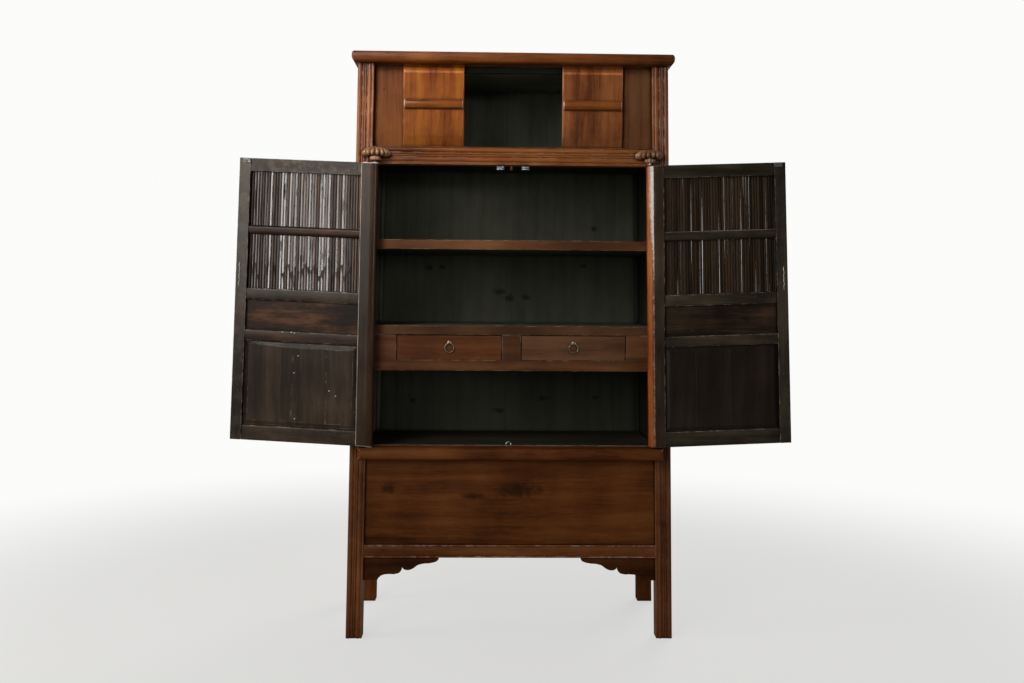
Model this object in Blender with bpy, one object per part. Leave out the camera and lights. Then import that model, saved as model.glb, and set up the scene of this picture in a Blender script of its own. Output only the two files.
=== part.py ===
"""Tapered wooden cupboard: two pivoting doors, a sliding-door top and two inner drawers.

Every piece is first built upright, with x measured at floor level, and y running
from the front faces of the posts towards the back. The cupboard is narrower at the
top, so each piece is then leaned inwards by the same slope, joints included.
"""

import math

import bmesh
import bpy
from mathutils import Matrix, Vector

for old_object in list(bpy.data.objects):
    bpy.data.objects.remove(old_object, do_unlink=True)

# Whole cupboard
HEIGHT = 1.780
DEPTH = 0.460
HALF_FOOT = 0.502  # half the width over the feet
SPLAY = 0.0199  # sideways lean of the posts per metre of height
FIT = 0.0003  # gap between pieces that touch
PLAY = 0.0008  # gap between pieces that slide

# Posts and the joints cut in them
POST = 0.049
STUB = 0.024  # square stub tenon at the head of a post
STUB_LENGTH = 0.018
TENON = 0.018  # length of a rail's tenon in a post
TONGUE = 0.007  # depth of a panel's edge in its groove

# Reeding of the posts and rails
REED_DEPTH = 0.004
REED_STEPS = 6
LIP_DEPTH = 0.0015
BEAD = 0.0135
REED = 0.006
QUIRK = 0.002

# Top board
TOP_THICK = 0.033
TOP_SIDE = 0.017  # overhang past the posts
TOP_FRONT = 0.020
TOP_BACK = 0.010

# Front rails
TRACK_HIGH = 0.018
TRACK_DEEP = 0.014
WAIST_BOTTOM = 1.447
WAIST_HIGH = 0.053
WAIST_DEEP = 0.040
SILL_TOP = 0.5936
SILL_HIGH = 0.038
SILL_REACH = 0.047  # how far the sill stands in front of the posts
SILL_DEEP = 0.035
SILL_SHORT = 0.028  # from the end of the sill to the outer face of the post
SILL_ROUND = 0.015
APRON_BOTTOM = 0.2495
APRON_HIGH = 0.039
APRON_FRONT = 0.002
APRON_DEEP = 0.032
APRON_FILLET = 0.0035

# Panels and boards of the carcass
LOWER_PANEL_FRONT = 0.010
LOWER_PANEL_THICK = 0.012
SPANDREL_FRONT = 0.010
SPANDREL_THICK = 0.016
SPANDREL_LONG = 0.230
SPANDREL_DROP = 0.071
SIDE_THICK = 0.014
SIDE_INSET = 0.022  # from the outer face of the post to the side panel
HOUSING = 0.005  # depth of the shelf housings in the side panels
BACK_THICK = 0.010
BACK_INSET = 0.024
BACK_JOINTS = (-0.384, -0.290, -0.010, 0.3625)
BACK_VEE = 0.002
REAR_RAIL_THICK = 0.033
REAR_RAIL_INSET = 0.012
SHELF_FRONT = 0.012
SHELF_TOP = 1.2212
SHELF_THICK = 0.029
FLOOR_THICK = 0.018
FLOOR_DROP = 0.004  # main floor below the top of the sill
UPPER_FLOOR_DROP = 0.007  # top compartment's floor below the top of the waist rail
STORE_FLOOR_RISE = 0.012  # closed store's floor above the bottom of the apron rail

# Drawers
CASE_TOP = 0.9613
CASE_TOP_THICK = 0.0285
DRAWER_HIGH = 0.0768
CASE_FLOOR_THICK = 0.033
DRAWER_WIDE = 0.316
DRAWER_SPACING = 0.1895  # from the middle to a drawer's centre
DRAWER_LONG = 0.360
DRAWER_FRONT_THICK = 0.018
DRAWER_WALL = 0.009
DRAWER_RIM_DROP = 0.008  # sides of the drawer below the top of its front
STILE_DEEP = 0.018
DRAWER_PLAY = 0.0024  # gap round a drawer front
GUIDE_HIGH = 0.018
GUIDE_WIDE = 0.020
DRAWER_EYE_RISE = 0.015  # eye above the middle of the drawer front

# Sliding doors of the top compartment
SLIDE_FRONT = 0.008
SLIDE_THICK = 0.012
SLIDE_WIDE = 0.184
SLIDE_SET = 0.121  # from a post's inner face to a door's outer edge as it stands
SLIDE_EDGE = 0.007  # thickness of the bevelled edge in its track
SLIDE_TOP_BEVEL = 0.022
SLIDE_LOW_BEVEL = 0.034
TRACK_GROOVE = 0.011
FLOOR_GROOVE = 0.005
SLIDE_SPACE = 0.0025  # between the sliding and the fixed panels
FIXED_THICK = 0.010
SLIDE_LAP = 0.172  # how far a sliding door stands over its fixed panel
BATTEN_LONG = 0.179
BATTEN_HIGH = 0.029
BATTEN_DEEP = 0.014
BATTEN_Z = 1.6285

# Hinged doors
DOOR_SET = 0.012  # from a post's inner face to the pivot line
DOOR_PROUD = 0.024  # pivot line in front of the posts
DOOR_THICK = 0.030
DOOR_GAP = 0.002  # above and below the doors
DOOR_MEET = 0.0044  # half the gap between the closed doors
NOSE_BACK = 0.012  # from the pivot line to the door's outer edge
NOSE_RUN = 0.022
NOSE_STEPS = 8
HINGE_STILE = 0.051
MEETING_STILE = 0.034
RAIL_THICK = 0.024
RAIL_ROUND = 0.0066  # easing of a rail's inner edges
TOP_RAIL = 0.038
GRILLE_HIGH = 0.350
GRILLE_RAIL = 0.037
SMALL_PANEL_HIGH = 0.089
PANEL_RAIL = 0.034
BOTTOM_RAIL = 0.0465
DOOR_TENON = 0.020
TENON_INSET = 0.009
PANEL_TONGUE = 0.006
PANEL_THICK = 0.009
PANEL_RAISE = 0.004
PANEL_BEVEL = 0.014
HEAD_BEVEL = 0.017  # deepest drop of a lower panel's hand-planed head bevel
BOARD_VEE = 0.0012
BOARD_JOINTS = (0.41, 0.74)  # of the panel's width, from the meeting stile
ROD_COUNT = 28
ROD_RADIUS = 0.0057
ROD_END = 0.008
ROD_OFFSET = 0.002  # rods in front of the door's middle plane
CROSSBAR_DROP = 0.199
CROSSBAR_HIGH = 0.028
CROSSBAR_THICK = 0.0125
CROSSBAR_BITE = 0.0025  # how far the rods are let into the crossbar
CROSSBAR_ROUND = 0.0085
CROSSBAR_TENON = 0.012
OPEN_LEFT = 185.5  # degrees from closed, as the doors stand
OPEN_RIGHT = 181.5

# Door pivots
PIN_RADIUS = 0.011
PIN_PLAY = 0.0004
PIN_TOP = 0.030
PIN_LOW = 0.016
PIN_SIDES = 16
BLOCK_RADIUS = 0.045
BLOCK_BOTTOM = 1.461
BLOCK_HIGH = 0.033
BLOCK_RIM = 0.0085
BLOCK_LOBES = 8
LOBE_STEPS = 3
LOBE_DEPTH = 0.003
COLLAR_RADIUS = 0.017
COLLAR_HIGH = 0.0075

# Metal fittings
PLATE_WIDE = 0.022
PLATE_HIGH = 0.0125
PLATE_THICK = 0.0012
PLATE_FROM_EDGE = 0.0105
CATCH_WIDE = 0.026
CATCH_HIGH = 0.016
CATCH_X = 0.038
CATCH_BACK = 0.028
CATCH_GAP = 0.0006  # from a pole strip to the strike plate
POLE_HIGH = 0.0024
POLE_PROUD = 0.0006
EYE_RADIUS = 0.0075  # middle of the wire of a door's eye
EYE_WIRE = 0.0018
EYE_Z = 1.096
EYE_FROM_EDGE = 0.012
LEG_LONG = 0.036
LEG_THICK = 0.0014
DRAWER_EYE_RADIUS = 0.0042
DRAWER_EYE_WIRE = 0.0011
RING_RADIUS = 0.0138
RING_WIRE = 0.0015

# Derived planes and lines
POST_INNER = HALF_FOOT - POST
DOOR_AXIS = POST_INNER - DOOR_SET
SLIDE_APART = POST_INNER - SLIDE_SET - SLIDE_WIDE
FIXED_INNER = SLIDE_APART + SLIDE_WIDE - SLIDE_LAP
POST_TOP = HEIGHT - TOP_THICK
WAIST_TOP = WAIST_BOTTOM + WAIST_HIGH
TRACK_BOTTOM = POST_TOP  # the upper tracks are grooves in the top board
SILL_BOTTOM = SILL_TOP - SILL_HIGH
APRON_TOP = APRON_BOTTOM + APRON_HIGH
SIDE_INNER = HALF_FOOT - SIDE_INSET - SIDE_THICK
BACK_FRONT = DEPTH - BACK_INSET - BACK_THICK
REAR_RAIL_FRONT = DEPTH - REAR_RAIL_INSET - REAR_RAIL_THICK
CASE_TOP_BOTTOM = CASE_TOP - CASE_TOP_THICK
CASE_FLOOR = CASE_TOP_BOTTOM - DRAWER_HIGH
DOOR_TOP = WAIST_BOTTOM - DOOR_GAP
DOOR_BOTTOM = SILL_TOP + DOOR_GAP
DOOR_OUTER = -DOOR_PROUD - DOOR_THICK / 2
DOOR_INNER = -DOOR_PROUD + DOOR_THICK / 2
STILE_EDGE = DOOR_AXIS + NOSE_BACK - HINGE_STILE
MEET_EDGE = DOOR_MEET + MEETING_STILE
END_ONLY = 0.40  # a piece that spans the cupboard leans at its ends, beyond this

SIDES = {"left": -1, "right": 1}
LACQUER = ((0.155, 0.045, 0.022), 0.38, 0.0)
SLIDE_WOOD = ((0.290, 0.095, 0.030), 0.40, 0.0)
DARK_WOOD = ((0.030, 0.020, 0.014), 0.60, 0.0)
DOOR_WOOD = ((0.045, 0.024, 0.016), 0.50, 0.0)
PANEL_WOOD = ((0.075, 0.024, 0.014), 0.42, 0.0)
BAMBOO = ((0.060, 0.030, 0.014), 0.35, 0.0)
BRASS = ((0.420, 0.360, 0.220), 0.40, 1.0)
STEEL = ((0.560, 0.560, 0.550), 0.35, 1.0)

parts = bpy.data.collections.new("tapered_cupboard")
cutters = bpy.data.collections.new("cutters")
bpy.context.scene.collection.children.link(parts)
bpy.context.scene.collection.children.link(cutters)
root = bpy.data.objects.new("cupboard", None)
parts.objects.link(root)
cuts = {}


def box(x0, x1, y0, y1, z0, z1):
    """Two opposite corners of a box, put in order."""
    low = Vector((min(x0, x1), min(y0, y1), min(z0, z1)))
    high = Vector((max(x0, x1), max(y0, y1), max(z0, z1)))
    return low, high


def grown(shape, by=FIT):
    """The same box with a clearance all round."""
    margin = Vector((by, by, by))
    return shape[0] - margin, shape[1] + margin


def add_box(bm, shape):
    low, high = shape
    place = Matrix.Translation((low + high) / 2) @ Matrix.Diagonal((*(high - low), 1))
    return bmesh.ops.create_cube(bm, size=1, matrix=place)["verts"]


def add_rod(bm, x, y, z0, z1, radius, sides):
    place = Matrix.Translation((x, y, (z0 + z1) / 2))
    bmesh.ops.create_cone(
        bm, cap_ends=True, segments=sides, radius1=radius, radius2=radius,
        depth=z1 - z0, matrix=place,
    )


def add_pin(bm, x, y0, y1, z, radius, sides):
    """A round bar that runs from front to back."""
    place = Matrix.Translation((x, (y0 + y1) / 2, z)) @ Matrix.Rotation(math.pi / 2, 4, "X")
    bmesh.ops.create_cone(
        bm, cap_ends=True, segments=sides, radius1=radius, radius2=radius,
        depth=y1 - y0, matrix=place,
    )


def mesh_of(bm, name):
    bmesh.ops.recalc_face_normals(bm, faces=bm.faces)
    mesh = bpy.data.meshes.new(name)
    bm.to_mesh(mesh)
    bm.free()
    return mesh


def piece(name, mesh, finish):
    """A named part of the cupboard, with its own finish."""
    colour, roughness, metallic = finish
    material = bpy.data.materials.new(name)
    material.use_nodes = True
    shader = material.node_tree.nodes["Principled BSDF"]
    shader.inputs["Base Color"].default_value = (*colour, 1)
    shader.inputs["Roughness"].default_value = roughness
    shader.inputs["Metallic"].default_value = metallic
    material.diffuse_color = (*colour, 1)
    mesh.materials.append(material)
    obj = bpy.data.objects.new(name, mesh)
    obj.parent = root
    parts.objects.link(obj)
    return obj


def cutter(name, mesh):
    obj = bpy.data.objects.new(name, mesh)
    obj.hide_render = True
    obj.display_type = "WIRE"
    cutters.objects.link(obj)
    return obj


def keep_evaluated(obj):
    """Put the modifiers' result in the object's own mesh."""
    bpy.context.view_layer.update()
    graph = bpy.context.evaluated_depsgraph_get()
    mesh = bpy.data.meshes.new_from_object(obj.evaluated_get(graph))
    obj.modifiers.clear()
    obj.data = mesh


def combine(obj, bm, operation):
    """Join the shapes of bm to a piece, or cut them from it."""
    tool = cutter(f"{obj.name}_{operation.lower()}", mesh_of(bm, obj.name + "_tool"))
    boolean = obj.modifiers.new(operation.lower(), "BOOLEAN")
    boolean.operation = operation
    boolean.solver = "EXACT"
    boolean.use_self = True
    boolean.object = tool
    keep_evaluated(obj)


def join(obj, shapes):
    bm = bmesh.new()
    for shape in shapes:
        add_box(bm, shape)
    combine(obj, bm, "UNION")


def let_in(shape, *receivers):
    """Record that a tenon or tongue enters other pieces, which get a matching recess."""
    for name in receivers:
        cuts.setdefault(name, []).append(grown(shape))


def solid_box(name, shape, finish):
    bm = bmesh.new()
    add_box(bm, shape)
    return piece(name, mesh_of(bm, name), finish)


def prism(name, points, start, end, along, finish, smooth=()):
    """A flat outline given thickness along one axis.

    The outline is (x, y) for thickness along z, (y, z) along x and (x, z) along y.
    Points listed in smooth are rounded, the others stay sharp.
    """
    curve = bpy.data.curves.new(name, "CURVE")
    curve.dimensions = "2D"
    curve.fill_mode = "BOTH"
    curve.extrude = (end - start) / 2
    curve.resolution_u = 3
    if smooth:
        spline = curve.splines.new("BEZIER")
        spline.bezier_points.add(len(points) - 1)
        for index, point in enumerate(points):
            knot = spline.bezier_points[index]
            knot.co = (*point, 0)
            kind = "AUTO" if index in smooth else "VECTOR"
            knot.handle_left_type = kind
            knot.handle_right_type = kind
    else:
        spline = curve.splines.new("POLY")
        spline.points.add(len(points) - 1)
        for index, point in enumerate(points):
            spline.points[index].co = (*point, 0, 1)
    spline.use_cyclic_u = True
    guide = bpy.data.objects.new(name + "_outline", curve)
    cutters.objects.link(guide)
    bpy.context.view_layer.update()
    graph = bpy.context.evaluated_depsgraph_get()
    mesh = bpy.data.meshes.new_from_object(guide.evaluated_get(graph))
    bpy.data.objects.remove(guide, do_unlink=True)
    bm = bmesh.new()
    bm.from_mesh(mesh)
    bmesh.ops.remove_doubles(bm, verts=bm.verts, dist=0.00001)
    middle = (start + end) / 2
    turn = {
        "z": Matrix.Translation((0, 0, middle)),
        "x": Matrix(((0, 0, 1, middle), (1, 0, 0, 0), (0, 1, 0, 0), (0, 0, 0, 1))),
        "y": Matrix(((1, 0, 0, 0), (0, 0, -1, middle), (0, 1, 0, 0), (0, 0, 0, 1))),
    }[along]
    bmesh.ops.transform(bm, matrix=turn, verts=bm.verts)
    bmesh.ops.dissolve_limit(bm, angle_limit=0.001, verts=bm.verts, edges=bm.edges)
    return piece(name, mesh_of(bm, name), finish)


def lean(name, beyond=0.0):
    """Lean a piece inwards. Points nearer the middle than the limit stay upright."""
    for vertex in bpy.data.objects[name].data.vertices:
        if abs(vertex.co.x) > beyond:
            vertex.co.x -= math.copysign(SPLAY * vertex.co.z, vertex.co.x)


def reeded(strips):
    """(distance, depth) along a face worked with beads, quirks and lips."""
    line = []
    start = 0.0
    for kind, width in strips:
        if kind == "bead":
            rise = min(REED_DEPTH, width / 2)
            for step in range(REED_STEPS + 1):
                turn = math.pi * step / REED_STEPS
                along = start + width * (1 - math.cos(turn)) / 2
                line.append((along, REED_DEPTH - rise * math.sin(turn)))
        else:
            depth = LIP_DEPTH if kind == "lip" else REED_DEPTH
            line.append((start, depth))
            line.append((start + width, depth))
        start += width
    kept = [line[0]]
    for point in line[1:]:
        if math.dist(point, kept[-1]) > 0.0001:
            kept.append(point)
    return kept


def reeds_over(width):
    """The mouldings across a post or a rail: bead, pair of reeds, bead, and a lip for the rest."""
    strips = [("bead", BEAD), ("quirk", QUIRK), ("bead", REED), ("bead", REED)]
    strips += [("quirk", QUIRK), ("bead", BEAD)]
    rest = width - sum(size for _, size in strips)
    return strips + [("lip", rest)]


def draw_up(bm, face, keep):
    """Extrude a face and return the new one. The old face stays only where it closes the bottom."""
    made = bmesh.ops.extrude_face_region(bm, geom=[face])["geom"]
    if not keep:
        bmesh.ops.delete(bm, geom=[face], context="FACES_ONLY")
    return next(item for item in made if isinstance(item, bmesh.types.BMFace))


def make_posts():
    for side, sign in SIDES.items():
        front = f"post_front_{side}"
        rear = f"post_rear_{side}"
        face = [(sign * (HALF_FOOT - along), depth) for along, depth in reeded(reeds_over(POST))]
        outline = face + [(sign * POST_INNER, POST), (sign * HALF_FOOT, POST)]
        post = prism(front, outline, 0, POST_TOP - FIT, "z", LACQUER)
        outline = [
            (sign * POST_INNER, DEPTH - POST), (sign * HALF_FOOT, DEPTH - POST),
            (sign * HALF_FOOT, DEPTH), (sign * POST_INNER, DEPTH),
        ]
        back_post = prism(rear, outline, 0, POST_TOP - FIT, "z", LACQUER)
        for obj, near in ((post, 0), (back_post, DEPTH - POST)):
            inset = (POST - STUB) / 2
            stub = box(
                sign * (POST_INNER + inset), sign * (HALF_FOOT - inset),
                near + inset, near + inset + STUB, POST_TOP - STUB_LENGTH, POST_TOP + STUB_LENGTH,
            )
            join(obj, [stub])
            let_in(stub, "top_board")


def make_top_board():
    """A flat slab drawn upwards in rings, each ring set in or out to round its edge."""
    half = HALF_FOOT + TOP_SIDE
    rings = (
        (0.0, 0.0130), (0.06, 0.0088), (0.15, 0.0052), (0.26, 0.0024), (0.40, 0.0006),
        (0.55, 0.0), (0.76, 0.0004), (0.90, 0.0018), (1.0, 0.0052),
    )
    bm = bmesh.new()
    corners = []
    inset = rings[0][1]
    for x, y in ((-1, -1), (1, -1), (1, 1), (-1, 1)):
        near = -TOP_FRONT + inset if y < 0 else DEPTH + TOP_BACK - inset
        corners.append(bm.verts.new((x * (half - inset), near, POST_TOP)))
    face = bm.faces.new(corners)
    centre = Vector((0, (DEPTH + TOP_BACK - TOP_FRONT) / 2, 0))
    deep = (DEPTH + TOP_BACK + TOP_FRONT) / 2
    for rise, inset in rings[1:]:
        face = draw_up(bm, face, rise == rings[1][0])
        for vertex in face.verts:
            vertex.co.x = math.copysign(half - inset, vertex.co.x)
            vertex.co.y = centre.y + math.copysign(deep - inset, vertex.co.y - centre.y)
            vertex.co.z = POST_TOP + rise * TOP_THICK
    piece("top_board", mesh_of(bm, "top_board"), LACQUER)


def make_front_rails():
    width = POST_INNER - FIT
    near = SLIDE_FRONT + SLIDE_THICK + SLIDE_SPACE + FIXED_THICK + PLAY
    low = POST_TOP - TRACK_HIGH
    rail = solid_box(
        "top_track_rail", box(-width, width, near, near + TRACK_DEEP, low, POST_TOP - FIT), LACQUER
    )
    tenon = box(
        -POST_INNER - TENON, POST_INNER + TENON, near + TRACK_DEEP / 8, near + TRACK_DEEP / 2,
        low + TRACK_HIGH / 4, POST_TOP - TRACK_HIGH / 4,
    )
    join(rail, [tenon])
    let_in(tenon, "post_front_left", "post_front_right")

    face = [
        (depth, WAIST_TOP - along)
        for along, depth in reeded([("lip", (WAIST_HIGH - POST) / 2)] + reeds_over(
            WAIST_HIGH - (WAIST_HIGH - POST) / 2))
    ]
    outline = face + [(WAIST_DEEP, WAIST_BOTTOM), (WAIST_DEEP, WAIST_TOP)]
    rail = prism("waist_rail", outline, -width, width, "x", LACQUER)
    third = WAIST_HIGH / 4
    tenon = box(
        -POST_INNER - TENON, POST_INNER + TENON, WAIST_DEEP / 3, WAIST_DEEP * 2 / 3,
        WAIST_BOTTOM + third, WAIST_TOP - third,
    )
    join(rail, [tenon])
    let_in(tenon, "post_front_left", "post_front_right")

    strips = [
        ("lip", APRON_FILLET), ("bead", APRON_HIGH - 2 * APRON_FILLET), ("lip", APRON_FILLET),
    ]
    face = [(APRON_FRONT + depth, APRON_TOP - along) for along, depth in reeded(strips)]
    back = APRON_FRONT + APRON_DEEP
    outline = face + [(back, APRON_BOTTOM), (back, APRON_TOP)]
    rail = prism("apron_rail", outline, -width, width, "x", LACQUER)
    tenon = box(
        -POST_INNER - TENON, POST_INNER + TENON, LOWER_PANEL_FRONT, back - APRON_DEEP / 4,
        APRON_BOTTOM + APRON_HIGH / 4, APRON_TOP - APRON_HIGH / 4 - TONGUE / 2,
    )
    join(rail, [tenon])
    let_in(tenon, "post_front_left", "post_front_right")


def make_sill():
    """A bar across the post faces, with a deeper part and tenons between the posts."""
    end = HALF_FOOT - SILL_SHORT
    inner = POST_INNER - FIT
    outline = [
        (-end, -SILL_REACH), (end, -SILL_REACH), (end, -FIT), (inner, -FIT), (inner, SILL_DEEP),
        (-inner, SILL_DEEP), (-inner, -FIT), (-end, -FIT),
    ]
    sill = prism("door_sill", outline, SILL_BOTTOM, SILL_TOP, "z", LACQUER)
    bm = bmesh.new()
    bm.from_mesh(sill.data)
    front = [
        edge for edge in bm.edges
        if all(vertex.co.y < -SILL_REACH + 0.0001 for vertex in edge.verts)
    ]
    bmesh.ops.bevel(
        bm, geom=front, offset=SILL_ROUND, offset_type="OFFSET", segments=3, profile=0.5,
        affect="EDGES",
    )
    bm.to_mesh(sill.data)
    bm.free()
    tenon = box(
        -POST_INNER - TENON, POST_INNER + TENON, SILL_DEEP / 3, SILL_DEEP * 2 / 3,
        SILL_BOTTOM + SILL_HIGH / 3, SILL_TOP - SILL_HIGH / 4,
    )
    join(sill, [tenon])
    let_in(tenon, "post_front_left", "post_front_right")


def make_front_panel_and_spandrels():
    reach = POST_INNER + TONGUE
    panel = box(
        -reach, reach, LOWER_PANEL_FRONT, LOWER_PANEL_FRONT + LOWER_PANEL_THICK,
        APRON_TOP - TONGUE, SILL_BOTTOM + TONGUE,
    )
    solid_box("front_lower_panel", panel, PANEL_WOOD)
    let_in(panel, "post_front_left", "post_front_right", "apron_rail", "door_sill")

    # Outline of a spandrel, from the tip to the foot: shares of its length and of its drop.
    drops = (
        (1.0, 0.0), (0.991, 0.12), (0.935, 0.223), (0.730, 0.328), (0.657, 0.493),
        (0.591, 0.563), (0.535, 0.521), (0.513, 0.437), (0.500, 0.592), (0.461, 0.704),
        (0.287, 0.746), (0.222, 0.831), (0.183, 1.0), (0.0, 1.0), (0.0, 0.0),
    )
    rounded = (1, 2, 3, 4, 5, 6, 8, 9, 10, 11)
    edge = POST_INNER - FIT
    for side, sign in SIDES.items():
        outline = [
            (sign * (edge - run * SPANDREL_LONG), APRON_BOTTOM - FIT - drop * SPANDREL_DROP)
            for run, drop in drops
        ]
        prism(
            f"spandrel_{side}", outline, SPANDREL_FRONT, SPANDREL_FRONT + SPANDREL_THICK, "y",
            LACQUER, rounded,
        )


def make_sides_and_back():
    for side, sign in SIDES.items():
        panel = box(
            sign * SIDE_INNER, sign * (SIDE_INNER + SIDE_THICK), POST - TONGUE,
            DEPTH - POST + TONGUE, APRON_BOTTOM, POST_TOP - FIT,
        )
        solid_box(f"side_panel_{side}", panel, LACQUER)
        let_in(panel, f"post_front_{side}", f"post_rear_{side}")

    # The vees mark where the upright boards of the back are glued edge to edge.
    reach = POST_INNER + TONGUE
    far = BACK_FRONT + BACK_THICK
    outline = [(-reach, BACK_FRONT)]
    for joint in BACK_JOINTS:
        outline += [
            (joint - BACK_VEE, BACK_FRONT), (joint, BACK_FRONT + BACK_VEE),
            (joint + BACK_VEE, BACK_FRONT),
        ]
    outline += [(reach, BACK_FRONT), (reach, far), (-reach, far)]
    prism("back_panel", outline, APRON_TOP - TONGUE, POST_TOP - FIT, "z", DARK_WOOD)
    let_in(
        box(-reach, reach, BACK_FRONT, far, APRON_TOP - TONGUE, POST_TOP - FIT),
        "post_rear_left", "post_rear_right", "rear_rail",
    )

    width = POST_INNER - FIT
    rail = solid_box(
        "rear_rail",
        box(-width, width, REAR_RAIL_FRONT, DEPTH - REAR_RAIL_INSET, APRON_BOTTOM, APRON_TOP),
        LACQUER,
    )
    tenon = box(
        -POST_INNER - TENON, POST_INNER + TENON, REAR_RAIL_FRONT + REAR_RAIL_THICK / 4,
        DEPTH - REAR_RAIL_INSET - REAR_RAIL_THICK / 4,
        APRON_BOTTOM + APRON_HIGH / 4, APRON_TOP - APRON_HIGH / 4 - TONGUE / 2,
    )
    join(rail, [tenon])
    let_in(tenon, "post_rear_left", "post_rear_right")


def board_across(name, front, back, top, thick, finish):
    """A board notched round the posts, its ends housed in the side panels."""
    near = POST + FIT
    far = DEPTH - POST - FIT
    a = POST_INNER - FIT
    b = SIDE_INNER + HOUSING
    outline = [(-a, front), (a, front), (a, near), (b, near), (b, far)]
    if back > far:
        outline += [(a, far), (a, back), (-a, back), (-a, far), (-b, far), (-b, near), (-a, near)]
    else:
        outline = outline[:4] + [(b, back), (-b, back), (-b, near), (-a, near)]
    board = prism(name, outline, top - thick, top, "z", finish)
    for side, sign in SIDES.items():
        end = box(sign * (SIDE_INNER - HOUSING), sign * b, near, min(far, back), top - thick, top)
        let_in(end, f"side_panel_{side}")
    return board


def make_shelves():
    back = BACK_FRONT - FIT
    board_across(
        "upper_floor", WAIST_DEEP + FIT, back, WAIST_TOP - UPPER_FLOOR_DROP, FLOOR_THICK, DARK_WOOD
    )
    board_across("middle_shelf", SHELF_FRONT, back, SHELF_TOP, SHELF_THICK, DARK_WOOD)
    board_across("drawer_case_top", SHELF_FRONT, back, CASE_TOP, CASE_TOP_THICK, DARK_WOOD)
    board_across(
        "main_floor", SILL_DEEP + FIT, back, SILL_TOP - FLOOR_DROP, FLOOR_THICK, DARK_WOOD
    )
    board_across(
        "store_floor", APRON_FRONT + APRON_DEEP + FIT, REAR_RAIL_FRONT - FIT,
        APRON_BOTTOM + STORE_FLOOR_RISE + FLOOR_THICK, FLOOR_THICK, DARK_WOOD,
    )
    case = board_across("drawer_case_floor", SHELF_FRONT, back, CASE_FLOOR, CASE_FLOOR_THICK, DARK_WOOD)
    # Three stiles stand on the case floor, with low guides for the drawers behind them.
    middle = DRAWER_SPACING - DRAWER_WIDE / 2 - DRAWER_PLAY
    outer = DRAWER_SPACING + DRAWER_WIDE / 2 + DRAWER_PLAY
    sunk = CASE_FLOOR - CASE_FLOOR_THICK / 4
    stile_back = SHELF_FRONT + STILE_DEEP
    guide_back = SHELF_FRONT + DRAWER_LONG
    under_top = CASE_TOP_BOTTOM - FIT
    shapes = [
        box(-middle, middle, SHELF_FRONT, stile_back, sunk, under_top),
        box(-middle, middle, stile_back - FIT, guide_back, sunk, CASE_FLOOR + GUIDE_HIGH),
    ]
    for sign in SIDES.values():
        shapes += [
            box(sign * outer, sign * (POST_INNER - FIT), SHELF_FRONT, stile_back, sunk, under_top),
            box(
                sign * outer, sign * (outer + GUIDE_WIDE), stile_back - FIT, guide_back, sunk,
                CASE_FLOOR + GUIDE_HIGH,
            ),
        ]
    join(case, shapes)


def make_sliding_front():
    """Bevelled panels in two tracks: the outer pair slides, the inner pair is fixed."""
    slide_back = SLIDE_FRONT + SLIDE_THICK
    fixed_front = slide_back + SLIDE_SPACE
    fixed_back = fixed_front + FIXED_THICK
    foot = WAIST_TOP - FLOOR_GROOVE + FIT
    head = TRACK_BOTTOM + TRACK_GROOVE - 0.002
    for side, sign in SIDES.items():
        for name, front, back, near, far, finish in (
            (f"sliding_panel_{side}", SLIDE_FRONT, slide_back, SLIDE_APART,
             SLIDE_APART + SLIDE_WIDE, SLIDE_WOOD),
            (f"fixed_panel_{side}", fixed_front, fixed_back, FIXED_INNER, POST_INNER - FIT,
             SLIDE_WOOD),
        ):
            thin = back - SLIDE_EDGE
            outline = [
                (back, foot), (thin, foot), (thin, WAIST_TOP + FIT),
                (front, WAIST_TOP + SLIDE_LOW_BEVEL), (front, TRACK_BOTTOM - SLIDE_TOP_BEVEL),
                (thin, TRACK_BOTTOM - FIT), (thin, head), (back, head),
            ]
            ends = sorted((sign * near, sign * far))
            prism(name, outline, ends[0], ends[1], "x", finish)
        middle = sign * (SLIDE_APART + SLIDE_WIDE / 2)
        flat = SLIDE_FRONT - FIT
        outline = [
            (flat - BATTEN_DEEP * math.sin(math.pi * step / 8),
             BATTEN_Z + BATTEN_HIGH / 2 * math.cos(math.pi * step / 8))
            for step in range(9)
        ]
        prism(
            f"sliding_batten_{side}", outline, middle - BATTEN_LONG / 2, middle + BATTEN_LONG / 2,
            "x", SLIDE_WOOD,
        )
    width = POST_INNER
    for back in (slide_back, fixed_back):
        groove = box(-width, width, back - SLIDE_EDGE, back, foot, WAIST_TOP + 0.01)
        let_in(groove, "waist_rail")
        groove = box(
            -width, width, back - SLIDE_EDGE, back, TRACK_BOTTOM - 0.01,
            TRACK_BOTTOM + TRACK_GROOVE - FIT,
        )
        let_in(groove, "top_board")


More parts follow.
